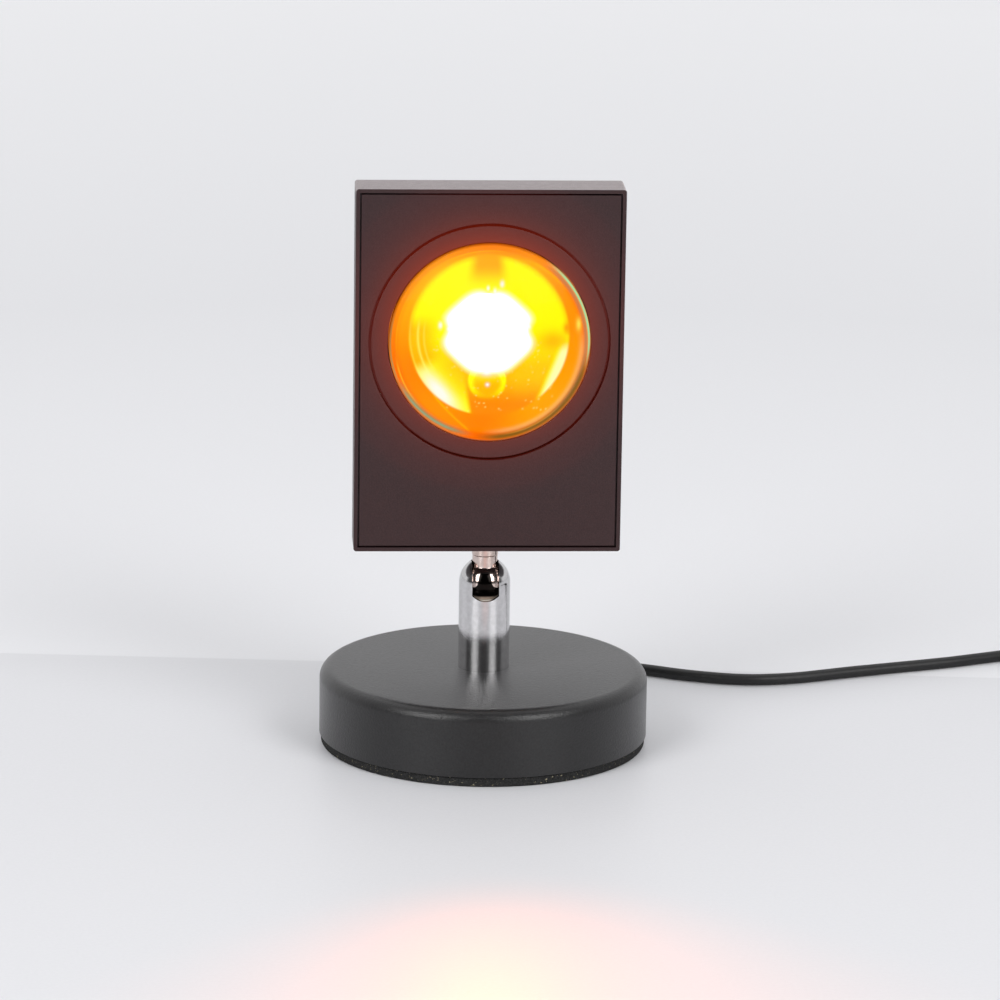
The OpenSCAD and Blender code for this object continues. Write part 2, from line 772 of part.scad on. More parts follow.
module front_panel() {
  panel_w = head_w - 2 * rim_w - 2 * rim_groove;
  panel_h = head_h - 2 * rim_w - 2 * rim_groove;
  color(case_black) difference() {
    union() {
      case_box(panel_w, panel_h, panel_y, panel_back_y);
      on_lens_axis() at_bosses() cylinder(r = boss_r, h = panel_t + boss_h);
    }
    on_lens_axis() translate([0, 0, -cut]) cylinder(r = bezel_r + bezel_groove, h = panel_t + 2 * cut);
    on_lens_axis() at_bosses() translate([0, 0, panel_t / 2])
      cylinder(r = small_pilot_r, h = panel_t + boss_h);
  }
}

module lens_bezel() {
  color(case_black) on_lens_axis() rotate_extrude() {
    translate([bezel_eye_r, 0]) square([bezel_r - bezel_eye_r, bezel_t]);
    translate([skirt_bore_r, 0]) square([skirt_t, skirt_d1]);
  }
}

module lens() {
  color(lens_amber) on_lens_axis() rotate_extrude() {
    intersection() {
      translate([0, dome_r - lens_sag]) circle(dome_r);
      translate([0, -lens_sag]) square([lens_r, lens_sag]);
    }
    square([lens_r, lens_flange_d0 + flange_t]);
    translate([0, lens_flange_d0]) square([stack_r, flange_t]);
  }
}

module lens_gasket() {
  color(pad_black) on_lens_axis() ring(stack_r, gasket_t, lens_r, gasket_d0);
}

module reflector() {
  rim_r = lens_r;
  color(lamp_silver) on_lens_axis() rotate_extrude() polygon([
    [stack_r, reflector_d0], [stack_r, reflector_d0 + reflector_t],
    [rim_r - reflector_t, reflector_d0 + reflector_t],
    [reflector_mouth_r + reflector_t, reflector_d1], [reflector_mouth_r, reflector_d1],
    [rim_r - 2 * reflector_t, reflector_d0]]);
}

module led_chip() {
  color(chip_yellow) on_lens_axis() {
    translate([-led_chip_w / 2, -led_chip_w / 2, chip_d0 + chip_lens_t])
      cube([led_chip_w, led_chip_w, led_chip_t - chip_lens_t]);
    translate([0, 0, chip_d0]) cylinder(r = chip_lens_r, h = led_chip_t);
  }
}

module led_board() {
  color(board_white) on_lens_axis() difference() {
    translate([0, 0, led_board_d0]) cylinder(r = led_board_r, h = led_board_t);
    for (x = [-led_screw_at, led_screw_at]) translate([x, 0, led_board_d0 - cut])
      cylinder(r = small_pilot_r, h = led_board_t + 2 * cut);
  }
}

module board_screws() {
  color(steel_grey) on_lens_axis() for (x = [-led_screw_at, led_screw_at]) translate([x, 0, led_board_d0])
    screw(flat_head_r, flat_head_t, small_screw_r, led_board_t + cup_floor_t / 2);
}

module lamp_cup() {
  shoulder_d1 = cup_shoulder_d0 + cup_shoulder_t;
  color(lamp_silver) on_lens_axis() difference() {
    union() {
      rotate_extrude() {
        translate([cup_bore_r, cup_d0]) square([cup_wall, shoulder_d1 - cup_d0]);
        translate([cup_rear_bore_r, cup_shoulder_d0]) square([cup_r - cup_rear_bore_r, cup_shoulder_t]);
        translate([cup_rear_bore_r, cup_shoulder_d0])
          square([cup_rear_r - cup_rear_bore_r, fin_d0 - cup_shoulder_d0]);
        translate([0, cup_floor_d0]) square([cup_rear_r, cup_floor_t]);
      }
      translate([0, 0, ear_d0]) linear_extrude(ear_t) difference() {
        for (a = [45 : 90 : 315]) rotate(a) {
          translate([boss_at, 0]) circle(ear_r);
          translate([0, -ear_r]) square([boss_at, 2 * ear_r]);
        }
        circle(cup_bore_r + cup_wall / 2);
      }
      translate([0, 0, fin_d0 - cup_floor_t / 2]) linear_extrude(fin_d1 - fin_d0 + cup_floor_t / 2)
        intersection() {
          circle(cup_rear_r - 1);
          for (i = [0 : fin_count - 1])
            translate([fin_pitch * (i - (fin_count - 1) / 2) - fin_t / 2, -cup_rear_r])
              square([fin_t, 2 * cup_rear_r]);
        }
    }
    at_bosses() translate([0, 0, ear_d0 - cut]) cylinder(r = small_screw_r + drop_gap, h = ear_t + 2 * cut);
    for (x = [-led_screw_at, led_screw_at]) translate([x, 0, cup_floor_d0 - cut])
      cylinder(r = small_pilot_r, h = cup_floor_t / 2 + cut + face_gap);
    translate([0, lens_z - wire_hole_z, cup_floor_d0 - cut])
      cylinder(r = wire_hole_r, h = cup_floor_t + 2 * cut);
  }
}

module cup_screws() {
  color(steel_grey) on_lens_axis() at_bosses() translate([0, 0, ear_d0 + ear_t]) rotate([180, 0, 0])
    screw(small_head_r, small_head_t, small_screw_r, ear_t + boss_h);
}

module driver_board() {
  color(board_green) difference() {
    translate([-driver_w / 2, driver_y, driver_z]) cube([driver_w, driver_t, driver_h]);
    for (x = [-post_x, post_x]) translate([x, driver_y - cut, driver_mid_z]) rotate([-90, 0, 0])
      cylinder(r = small_pilot_r, h = driver_t + 2 * cut);
  }
}

module driver_parts() {
  color(pad_black) {
    translate([-terminal[0] / 2, driver_y - terminal[1], terminal_z]) cube(terminal);
    translate([-driver_w / 4, driver_y, driver_mid_z + 3]) rotate([90, 0, 0])
      cylinder(r = capacitor_r, h = capacitor_l);
    translate([driver_w / 4 - choke[0] / 2, driver_y - choke[1], driver_mid_z]) cube(choke);
  }
}

module driver_screws() {
  color(steel_grey) for (x = [-post_x, post_x]) translate([x, driver_y, driver_mid_z]) rotate([-90, 0, 0])
    screw(small_head_r, small_head_t, small_screw_r, driver_t + driver_standoff / 2);
}

module led_wires() {
  start_z = driver_z + driver_h - 4;
  rise_y = panel_y + fin_d0 + 2;
  board_mid_y = panel_y + led_board_d0 + led_board_t / 2;
  color("#b03a2e") for (x = [-wire_x, wire_x]) tube([
    [x, driver_back_y, start_z], [x, driver_back_y + 1.4, start_z], [x, rise_y - 2, start_z + 1.4],
    [x, rise_y - 0.4, start_z + 4], [x, rise_y, start_z + 8], [x, rise_y, wire_hole_z - 3],
    [x, rise_y - 0.7, wire_hole_z - 1.2], [x, rise_y - 2.3, wire_hole_z - 0.2],
    [x, rise_y - 3.7, wire_hole_z + 0.4], [x, board_mid_y + 0.4, wire_hole_z + 1.4],
    [x, board_mid_y, lens_z - led_board_r - face_gap]], wire_r, loop_sides, [1, 0, 0]);
}

module rear_cover() {
  front_half = [head_w / 2 - rear_step, head_h / 2 - rear_step];
  mid_z = head_z + head_h / 2;
  color(case_black) difference() {
    union() {
      difference() {
        rear_solid(front_half);
        wedge_block(case_back_y - cut, rear_inner_y, shrink(front_half, rear_wall),
          shrink(front_half, rear_wall + rear_taper), mid_z);
      }
      intersection() {
        rear_solid(front_half);
        at_rear_screws() cylinder(r = well_r, h = rear_depth);
      }
      for (x = [-post_x, post_x]) translate([x, driver_back_y, driver_mid_z]) rotate([-90, 0, 0])
        cylinder(r = post_r, h = driver_standoff + rear_wall / 2);
    }
    at_rear_screws() translate([0, 0, well_floor]) cylinder(r = well_head_r, h = rear_depth);
    at_rear_screws() translate([0, 0, -cut]) cylinder(r = well_hole_r, h = well_floor + 2 * cut);
    for (x = [-post_x, post_x]) translate([x, driver_back_y - cut, driver_mid_z]) rotate([-90, 0, 0])
      cylinder(r = small_pilot_r, h = driver_standoff / 2 + 2 * cut);
    for (i = [0 : vent_count - 1])
      translate([0, rear_inner_y - cut, lens_z + vent_pitch * (i - (vent_count - 1) / 2)]) rotate([-90, 0, 0])
        linear_extrude(rear_wall + 2 * cut) round_rect(vent_l, vent_w, vent_w * 0.49);
  }
}

function shrink(half, by) = [half[0] - by, half[1] - by];

// Outside of the rear shell
module rear_solid(front_half) {
  mid_z = head_z + head_h / 2;
  intersection() {
    wedge_block(case_back_y, rear_y, front_half, shrink(front_half, rear_taper), mid_z);
    translate([0, case_back_y - cut, mid_z]) rotate([-90, 0, 0]) linear_extrude(rear_depth + 2 * cut)
      round_rect(2 * front_half[0], 2 * front_half[1], rear_corner_r);
  }
}

module cover_screws() {
  color(steel_grey) at_rear_screws() translate([0, 0, well_floor]) rotate([180, 0, 0])
    screw(well_head_r - 0.2, 1.6, pilot_r - run_gap, well_floor + pilot_l - 1);
}

module cord_lead() {
  color(cord_black) tube(lead_route, cord_r, cord_sides);
}

module cord_coil() {
  color(cord_black) tube(coil_route, cord_r, loop_sides);
}

module cord_tie() {
  w = tie_r1 - tie_r0;
  color("#2b2b2d") translate([coil_x, coil_y, 0]) rotate([0, 0, tie_angle])
    translate([(tie_r0 + tie_r1) / 2, tie_w / 2, (tie_top + tie_t) / 2]) rotate([90, 0, 0])
    linear_extrude(tie_w) difference() {
      round_rect(w + 2 * tie_t, tie_top + tie_t, tie_corner_r);
      round_rect(w, tie_top - tie_t, tie_corner_r - tie_t);
    }
}

module cord_tail() {
  color(cord_black) tube(tail_route, cord_r, cord_sides);
}

module cord_end() {
  color(cord_black) tube(end_route, cord_r, cord_sides);
}

// Outside of the switch case between two heights, with bevelled long edges
module switch_block(z0, z1) {
  bevel = switch_bevel;
  translate([switch_x, switch_y, 0]) intersection() {
    translate([0, 0, z0]) linear_extrude(z1 - z0) round_rect(switch_w, switch_l, switch_corner_r);
    translate([0, switch_l, 0]) rotate([90, 0, 0]) linear_extrude(2 * switch_l) translate([0, switch_h / 2])
      octagon(switch_w, switch_h, bevel);
    translate([-switch_w, 0, 0]) rotate([90, 0, 90]) linear_extrude(2 * switch_w) translate([0, switch_h / 2])
      octagon(switch_l, switch_h, bevel);
  }
}

// Rectangle with its corners cut off
module octagon(w, h, c) {
  polygon([[-w / 2 + c, -h / 2], [w / 2 - c, -h / 2], [w / 2, -h / 2 + c], [w / 2, h / 2 - c],
           [w / 2 - c, h / 2], [-w / 2 + c, h / 2], [-w / 2, h / 2 - c], [-w / 2, -h / 2 + c]]);
}

// Room inside the switch case between two heights
module switch_room(z0, z1) {
  translate([switch_x, switch_y, z0]) linear_extrude(z1 - z0)
    round_rect(switch_w - 2 * switch_wall, switch_l - 2 * switch_wall,
      max(switch_corner_r - switch_wall, 0.3));
}

module switch_bottom() {
  color(cord_black) difference() {
    switch_block(0, switch_mid_z);
    switch_room(switch_wall, switch_mid_z + cut);
  }
}

module switch_top() {
  color(cord_black) difference() {
    switch_block(switch_mid_z, switch_h);
    switch_room(switch_mid_z - cut, switch_ceiling);
    translate([switch_x, switch_y, switch_ceiling - cut])
      cylinder(r = button_r + face_gap, h = switch_wall + 2 * cut);
  }
}

module switch_core() {
  body_h = core_top_z - core_cap_h - switch_wall;
  color(seat_white) translate([switch_x, switch_y, switch_wall]) {
    translate([-core_w / 2, -core_l / 2, 0]) cube([core_w, core_l, body_h]);
    cylinder(r = core_cap_r, h = body_h + core_cap_h);
  }
}

module switch_boots() {
  color(cord_black) for (s = [-1, 1]) translate([switch_x, switch_y + s * switch_l / 2, switch_mid_z])
    rotate([-90 * s, 0, 0]) rotate_extrude() difference() {
      polygon([[cord_r + cord_fit, 0], [boot_r, 0], [boot_r, boot_l / 4],
               [boot_tip_r, boot_l], [cord_r + cord_fit, boot_l]]);
      ring_grooves(boot_rings, boot_r, boot_tip_r, boot_l / 4, boot_l);
    }
}

module switch_button() {
  color("#2f2f31") translate([switch_x, switch_y, button_flange_z]) {
    cylinder(r = button_flange_r, h = button_flange_t);
    cylinder(r = button_r, h = switch_h + button_stand - button_flange_z);
  }
}

module usb_overmould() {
  color(cord_black) translate([plug_x, 0, plug_z]) {
    translate([0, (grip_front_y + grip_back_y) / 2, 0]) intersection() {
      translate([0, grip_l, 0]) rotate([90, 0, 0]) linear_extrude(2 * grip_l)
        octagon(grip_w, grip_h, grip_bevel);
      translate([0, 0, -grip_h]) linear_extrude(2 * grip_h) octagon(grip_w, grip_l, grip_bevel);
    }
    translate([0, grip_back_y, 0]) rotate([-90, 0, 0])
      cylinder(r1 = grip_boot_r, r2 = grip_boot_tip_r, h = grip_boot_l);
  }
}

module usb_shell() {
  inner_w = shell_w - 2 * shell_t;
  inner_h = shell_h - 2 * shell_t;
  color(chrome_grey) translate([plug_x, grip_front_y - shell_l, plug_z]) difference() {
    translate([-shell_w / 2, 0, -shell_h / 2]) cube([shell_w, shell_l, shell_h]);
    translate([-inner_w / 2, -cut, -inner_h / 2]) cube([inner_w, shell_l + 2 * cut, inner_h]);
    for (x = [-1, 1])
      translate([x * shell_window_x - shell_window / 2, shell_l - shell_window_at - shell_window, -shell_h])
        cube([shell_window, shell_window, 2 * shell_h]);
  }
}

module usb_tongue() {
  color("#e8e8e6") translate([plug_x - tongue_w / 2, grip_front_y - tongue_l, tongue_z])
    cube([tongue_w, tongue_l, tongue_h]);
}

module usb_contacts() {
  contact_y = grip_front_y - contact_l - contact_set;
  color(brass_gold) for (i = [-1.5 : 1 : 1.5])
    translate([plug_x + i * contact_pitch - contact_w / 2, contact_y, tongue_z - contact_t])
      cube([contact_w, contact_l, contact_t]);
}

base_cover();
base_weight();
foot_pad();
stem_nipple();
nipple_washer();
nipple_nut();
cord_bushing();
base_lead();
swivel_barrel();
barrel_plug();
seat_spring();
friction_seat();
swivel_neck();
neck_collar();
neck_lead();
head_frame();
neck_washer();
neck_locknut();
front_panel();
lens_bezel();
lens();
lens_gasket();
reflector();
led_chip();
led_board();
board_screws();
lamp_cup();
cup_screws();
driver_board();
driver_parts();
driver_screws();
led_wires();
rear_cover();
cover_screws();
cord_lead();
cord_coil();
cord_tie();
cord_tail();
switch_bottom();
switch_top();
switch_core();
switch_boots();
switch_button();
cord_end();
usb_overmould();
usb_shell();
usb_tongue();
usb_contacts();
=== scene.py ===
import json
import math
import bmesh
import bpy
import numpy as np
from mathutils import Matrix

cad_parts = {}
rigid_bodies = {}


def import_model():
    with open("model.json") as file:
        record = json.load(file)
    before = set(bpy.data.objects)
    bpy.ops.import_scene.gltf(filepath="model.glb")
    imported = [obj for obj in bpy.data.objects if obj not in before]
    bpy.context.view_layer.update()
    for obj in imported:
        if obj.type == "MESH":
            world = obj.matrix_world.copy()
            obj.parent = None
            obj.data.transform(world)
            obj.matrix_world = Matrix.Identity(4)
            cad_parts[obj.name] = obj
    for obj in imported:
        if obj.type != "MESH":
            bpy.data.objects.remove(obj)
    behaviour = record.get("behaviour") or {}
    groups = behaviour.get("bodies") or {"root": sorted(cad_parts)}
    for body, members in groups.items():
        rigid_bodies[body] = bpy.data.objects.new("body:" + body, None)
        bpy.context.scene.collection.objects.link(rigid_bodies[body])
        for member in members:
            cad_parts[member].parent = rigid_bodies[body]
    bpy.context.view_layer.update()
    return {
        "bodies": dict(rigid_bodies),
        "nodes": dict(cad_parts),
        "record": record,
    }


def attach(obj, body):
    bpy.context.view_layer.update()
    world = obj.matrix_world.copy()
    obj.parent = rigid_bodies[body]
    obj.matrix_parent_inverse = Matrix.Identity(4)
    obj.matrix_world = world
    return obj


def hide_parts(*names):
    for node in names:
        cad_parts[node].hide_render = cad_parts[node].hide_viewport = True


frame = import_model()
nodes = frame["nodes"]
scene = bpy.context.scene
scene.view_settings.view_transform = "Standard"
mm = 0.001
mergeGap = 1e-7  # points closer than this become one, in metres
print("frame loaded:", len(nodes), "solids")


# New object, linked into the scene
def linkNew(name, data):
    obj = bpy.data.objects.new(name, data)
    scene.collection.objects.link(obj)
    return obj


# Rotation by an angle in degrees about one axis
def turnBy(degrees, axis):
    return Matrix.Rotation(math.radians(degrees), 4, axis)


# Camera where the photographer stood: long lens, looking a little down, turned to the lamp's left
cameraSet = {"sensor": 36, "lens": 193.7, "farClip": 30, "stand": 1.5, "height": 0.45559, "aside": 0.00465,
             "pitch": 14.35, "roll": -0.84, "turn": -3.39, "aim": 0.021}


# Camera's place: stood back and raised, swung round the lamp, then aimed, tipped down and rolled
def addCamera(s):
    data = bpy.data.cameras.new("photoCamera")
    data.sensor_width = s["sensor"]
    data.lens = s["lens"]
    data.clip_end = s["farClip"]
    camera = linkNew("photoCamera", data)
    place = turnBy(s["turn"], "Z") @ Matrix.Translation((s["aside"], -s["stand"], s["height"]))
    aimed = place @ turnBy(s["aim"], "Z") @ turnBy(-s["pitch"], "X") @ turnBy(s["roll"], "Y")
    camera.matrix_world = aimed @ turnBy(90, "X")  # an unturned camera looks straight down
    scene.camera = camera


addCamera(cameraSet)
print("camera set")


# Surface from a grid of points: rows and columns become quads, either way may close on itself,
# rows that shrink to a point are merged, and every face is turned outwards
def addSurface(name, grid, closeRows=False, closeColumns=False, crease=40):
    rows, columns = grid.shape[:2]
    index = np.arange(rows * columns).reshape(rows, columns)
    if closeRows:
        index = np.vstack([index, index[:1]])
    if closeColumns:
        index = np.hstack([index, index[:, :1]])
    quads = np.stack([index[:-1, :-1], index[1:, :-1], index[1:, 1:], index[:-1, 1:]], -1).reshape(-1, 4)
    mesh = bpy.data.meshes.new(name)
    mesh.vertices.add(rows * columns)
    mesh.vertices.foreach_set("co", np.ascontiguousarray(grid, np.float32).ravel())
    mesh.loops.add(quads.size)
    mesh.loops.foreach_set("vertex_index", quads.astype(np.int32).ravel())
    mesh.polygons.add(len(quads))
    mesh.polygons.foreach_set("loop_start", np.arange(0, quads.size, 4, dtype=np.int32))
    mesh.update(calc_edges=True)
    tidy = bmesh.new()
    tidy.from_mesh(mesh)
    bmesh.ops.remove_doubles(tidy, verts=tidy.verts, dist=mergeGap)
    bmesh.ops.dissolve_degenerate(tidy, edges=tidy.edges, dist=mergeGap / 10)
    bmesh.ops.recalc_face_normals(tidy, faces=tidy.faces)
    tidy.to_mesh(mesh)
    tidy.free()
    mesh.shade_smooth()
    mesh.set_sharp_from_angle(angle=math.radians(crease))
    return linkNew(name, mesh)


# Points of a mesh, one row each
def meshPoints(obj):
    flat = np.empty(len(obj.data.vertices) * 3)
    obj.data.vertices.foreach_get("co", flat)
    return flat.reshape(-1, 3)


# Smooth route: cubic pieces through every point, each with the heading of the points on either side,
# then read off again at even steps along its length
def smoothRoute(points, step, fineSteps=12):
    ends = np.vstack([2 * points[0] - points[1], points, 2 * points[-1] - points[-2]])
    a, b, c, d = (ends[k:len(ends) - 3 + k, None] for k in range(4))
    t = np.linspace(0, 1, fineSteps, endpoint=False)[None, :, None]
    fine = 0.5 * (2 * b + (c - a) * t + (2 * a - 5 * b + 4 * c - d) * t**2 + (3 * b - a - 3 * c + d) * t**3)
    fine = np.vstack([fine.reshape(-1, 3), points[-1:]])
    run = np.r_[0, np.cumsum(np.linalg.norm(np.diff(fine, axis=0), axis=1))]
    even = np.linspace(0, run[-1], int(run[-1] / step) + 1)
    return np.stack([np.interp(even, run, fine[:, k]) for k in range(3)], 1), float(run[-1])


# Tube: at each point of the route a ring square to the heading, its side level and its up square to both,
# closed at each end by a ring of no size
def tubeAlong(name, route, radius, sides):
    ahead = np.gradient(route, axis=0)
    ahead /= np.linalg.norm(ahead, axis=1, keepdims=True)
    side = np.cross(ahead, [0, 0, 1])
    side /= np.linalg.norm(side, axis=1, keepdims=True)
    up = np.cross(side, ahead)
    turn = np.linspace(0, 2 * np.pi, sides, endpoint=False)[None, :, None]
    reach = np.broadcast_to(radius, len(route))[:, None, None]
    rings = route[:, None] + reach * (np.cos(turn) * side[:, None] + np.sin(turn) * up[:, None])
    first, last = (np.repeat(route[k][None, None], sides, 1) for k in (0, -1))
    return addSurface(name, np.concatenate([first, rings, last]), closeColumns=True, crease=60)


# Cord: out of the base's back, a loose curve to the right, a flat two-layer coil, the switch, then the plug
cordSet = {
    "diameter": 3.4, "sides": 20, "step": 1.1,
    "lead": [[0, 44.45, 8], [0, 52.5, 8], [0, 60.5, 8], [0.3, 66, 7.7], [2.6, 72.5, 6.6], [7.6, 77.6, 5.1],
             [14.6, 80.2, 3.6], [22.4, 79.6, 2.5], [30, 76.8, 1.9], [38, 73, 1.75], [46.4, 69, 1.75],
             [54.6, 65.2, 1.75], [62, 61.4, 1.75], [69.2, 58.4, 1.75], [76.6, 56.1, 1.75], [84, 55, 1.75],
             [91.8, 55.6, 1.75], [99.6, 57.4, 1.75], [107.4, 60.2, 1.75], [115.4, 63.2, 1.75],
             [123.4, 65.8, 1.75], [131.4, 68.4, 1.75], [139.4, 71, 1.75], [147.4, 73.8, 1.75],
             [155.6, 77.2, 1.75], [163.8, 80.6, 1.75], [172, 84, 1.75], [180, 87.2, 1.75],
             [187.4, 90.2, 2], [194, 92.4, 2.4], [197.2, 93.1, 2.6]],
    "coilCentre": [204, 64.5], "coilStart": 90, "coilSweep": 3260, "coilOuter": 28.829,
    "coilStep": 3.9, "coilLow": 2.6, "climbSweep": 180, "turnPoints": 36,
    "tail": [[221.5, 88.9, 6.3], [227.6, 85.7, 5.4], [233, 81.2, 4.6], [237.6, 75.8, 4.3], [241, 69.4, 4.6],
             [243.2, 62.6, 5.2], [244, 57, 5.5], [244, 49, 5.5]],
    "end": [[244, 11, 5.5], [244, 7, 5.5], [244, 3, 5.5], [244, -4, 5], [244, -10, 4.4], [244, -16, 4],
            [244, -21, 4], [244, -25, 4]],
}


# Coil: a flat spiral that winds inwards one cord's pitch a turn, climbs one layer at its innermost turn,
# and winds outwards again on top, with a straight diameter at each end
def coilRoute(s):
    swept = np.linspace(0, s["coilSweep"], int(s["coilSweep"] / 360 * s["turnPoints"]) + 1)
    radius = s["coilOuter"] - s["coilStep"] * np.minimum(swept, s["coilSweep"] - swept) / 360
    climb = np.clip((swept - s["coilSweep"] / 2 + s["climbSweep"] / 2) / s["climbSweep"], 0, 1)
    height = s["coilLow"] + s["coilStep"] * (1 - np.cos(np.pi * climb)) / 2
    angle = np.radians(s["coilStart"] - swept)
    turns = np.stack([s["coilCentre"][0] + radius * np.cos(angle),
                      s["coilCentre"][1] + radius * np.sin(angle), height], 1)
    heading = np.stack([np.sin(angle), -np.cos(angle), 0 * angle], 1) * s["diameter"]
    return np.vstack([turns[:1] - heading[:1], turns, turns[-1:] + heading[-1:]])


mainPoints = np.vstack([cordSet["lead"], coilRoute(cordSet), cordSet["tail"]]) * mm
mainRoute, mainLength = smoothRoute(mainPoints, cordSet["step"] * mm)
endRoute, endLength = smoothRoute(np.array(cordSet["end"]) * mm, cordSet["step"] * mm)
cordMain = tubeAlong("cordMain", mainRoute, cordSet["diameter"] / 2 * mm, cordSet["sides"])
cordEnd = tubeAlong("cordToPlug", endRoute, cordSet["diameter"] / 2 * mm, cordSet["sides"])
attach(cordMain, "stand")
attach(cordEnd, "stand")
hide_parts("cord_lead", "cord_coil", "cord_tail")
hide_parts("cord_end")
print("cords laid:", round(mainLength, 3), "m and", round(endLength, 3), "m")


# Colour given as the screen shows it, 0 to 255, turned into the linear light that a shader takes
def tone(r, g, b):
    c = np.array([r, g, b]) / 255
    c = np.where(c <= 0.04045, c / 12.92, ((c + 0.055) / 1.055) ** 2.4)
    return (*map(float, c), 1.0)


# Inputs of a node: an output is linked in, a plain value is set
def setInputs(tree, node, inputs):
    for key, value in inputs.items():
        if isinstance(value, bpy.types.NodeSocket):
            tree.links.new(value, node.inputs[key])
        else:
            node.inputs[key].default_value = value


# New node with its settings and inputs
def addNode(tree, kind, inputs=None, **settings):
    node = tree.nodes.new(kind)
    for key, value in settings.items():
        setattr(node, key, value)
    setInputs(tree, node, inputs or {})
    return node


finishes = {}


# New finish: one shader with its even values set, kept by its name
def newFinish(name, inputs):
    material = bpy.data.materials.new(name)
    material.use_nodes = True
    finishes[name] = material
    shader = material.node_tree.nodes["Principled BSDF"]
    setInputs(material.node_tree, shader, inputs)
    return material.node_tree, shader


# Sum, product, power or larger of numbers, as the operation says
def plainMath(tree, operation, *terms):
    return addNode(tree, "ShaderNodeMath", dict(enumerate(terms)), operation=operation).outputs[0]


# The same for vectors, where a length and a dot product are plain numbers
def vectorMath(tree, operation, *terms):
    node = addNode(tree, "ShaderNodeVectorMath", dict(enumerate(terms)), operation=operation)
    return node.outputs["Value" if operation in ("LENGTH", "DOT_PRODUCT") else "Vector"]


# The object's own coordinates, or one axis of them
def ownPlace(tree, axis=None):
    place = addNode(tree, "ShaderNodeTexCoord").outputs["Object"]
    if axis:
        return addNode(tree, "ShaderNodeSeparateXYZ", {0: place}).outputs[axis]
    return place


# Noise on the object's own coordinates, in features per metre, stretched along an axis where asked
def grain(tree, scale, detail=3.0, rough=0.6, stretch=None):
    place = ownPlace(tree)
    if stretch:
        place = addNode(tree, "ShaderNodeMapping", {"Vector": place, "Scale": stretch}).outputs[0]
    inputs = {"Vector": place, "Scale": scale, "Detail": detail, "Roughness": rough}
    return addNode(tree, "ShaderNodeTexNoise", inputs).outputs["Fac"]


# Colour that runs straight from each stop to the next
def ramp(tree, fac, stops):
    node = addNode(tree, "ShaderNodeValToRGB", {"Fac": fac})
    while len(node.color_ramp.elements) < len(stops):
        node.color_ramp.elements.new(0.5)
    for element, (at, colour) in zip(node.color_ramp.elements, stops):
        element.position = at
        element.color = colour
    return node.outputs["Color"]


# Value spread in proportion from one range to another, and held at the ends
def spread(tree, value, low, high, toLow, toHigh):
    return addNode(tree, "ShaderNodeMapRange", {"Value": value, "From Min": low, "From Max": high,
                                                "To Min": toLow, "To Max": toHigh}).outputs[0]


noiseSpan = (0.3, 0.7)  # a noise keeps to these, nearly


# Two tones: the first up to the span's start, the second from its end
def toned(tree, value, tones, span=noiseSpan):
    return ramp(tree, value, [(at, tone(*colour)) for at, colour in zip(span, tones)])


# Roughness: a noise spread over a range of gloss
def glossed(tree, scale, gloss, detail=3.0, span=noiseSpan):
    return spread(tree, grain(tree, scale, detail), *span, *gloss)


# Bump by a height, its depth in mm, over another bump where there is one
def bumped(tree, height, strength, deep, over=None):
    inputs = {"Height": height, "Strength": strength, "Distance": deep * mm}
    if over:
        inputs["Normal"] = over
    return addNode(tree, "ShaderNodeBump", inputs).outputs[0]


# Colour a, turned towards b by the factor; 6, 7 and 2 are the node's colour sockets
def mixed(tree, factor, a, b):
    return addNode(tree, "ShaderNodeMix", {"Factor": factor, 6: a, 7: b}, data_type="RGBA").outputs[2]


# Stage: one pale floor, two soft boxes on either side of the camera, one overhead, an even sky,
# and a dim room behind the camera that only reflections see
floorSet = {"half": 6.0, "drop": 0.05, "tones": [(221, 221, 224), (224, 224, 227)], "grain": (900, 4),
            "even": {"Roughness": 0.42, "Specular IOR Level": 0.4, "Emission Strength": 1.0},
            "farReach": 1.5, "farAdd": [(0.4, 0.0), (0.65, 0.09), (0.9, 0.17)], "farBlue": 1.01,
            "seamToward": (0.0959, 0.9954, 0), "seamAway": 0.0774, "seamSoft": (0.4, 0.8), "seamAdd": 0.08}


# Floor: a flat sheet just under the lamp. Seen straight, its far reaches are lifted towards a plain pale
# backdrop, and a paler sheet starts behind the lamp, along a line that runs a little aslant
def addFloor(s):
    across = np.linspace(-s["half"], s["half"], 3)
    x, y = np.meshgrid(across, across, indexing="ij")
    floor = addSurface("floorSheet", np.stack([x, y, np.full_like(x, -s["drop"] * mm)], -1))
    if floor.data.polygons[0].normal.z < 0:
        floor.data.flip_normals()
    tree, shader = newFinish("floorPaper", s["even"])
    away = spread(tree, vectorMath(tree, "LENGTH", ownPlace(tree)), 0, s["farReach"], 0, 1)
    lift = ramp(tree, away, [(at, (add, add, add * s["farBlue"], 1)) for at, add in s["farAdd"]])
    behind = vectorMath(tree, "DOT_PRODUCT", ownPlace(tree), s["seamToward"])
    before, after = s["seamSoft"]
    pale = spread(tree, behind, s["seamAway"] - before * mm, s["seamAway"] + after * mm, 0, s["seamAdd"])
    seen = addNode(tree, "ShaderNodeLightPath").outputs["Is Camera Ray"]
    lift = vectorMath(tree, "MULTIPLY", vectorMath(tree, "ADD", lift, pale), seen)
    colour = toned(tree, grain(tree, *s["grain"]), s["tones"])
    setInputs(tree, shader, {"Base Color": colour, "Emission Color": lift})
    floor.data.materials.append(finishes["floorPaper"])


skySet = {"light": 0.44, "tint": (0.97, 0.98, 1, 1), "seen": 0.8, "seenTint": (0.985, 0.985, 1, 1),
          "roomDark": 0.1, "roomToward": (-0.06, -1, 0), "roomEdge": (-0.05, 0.2)}


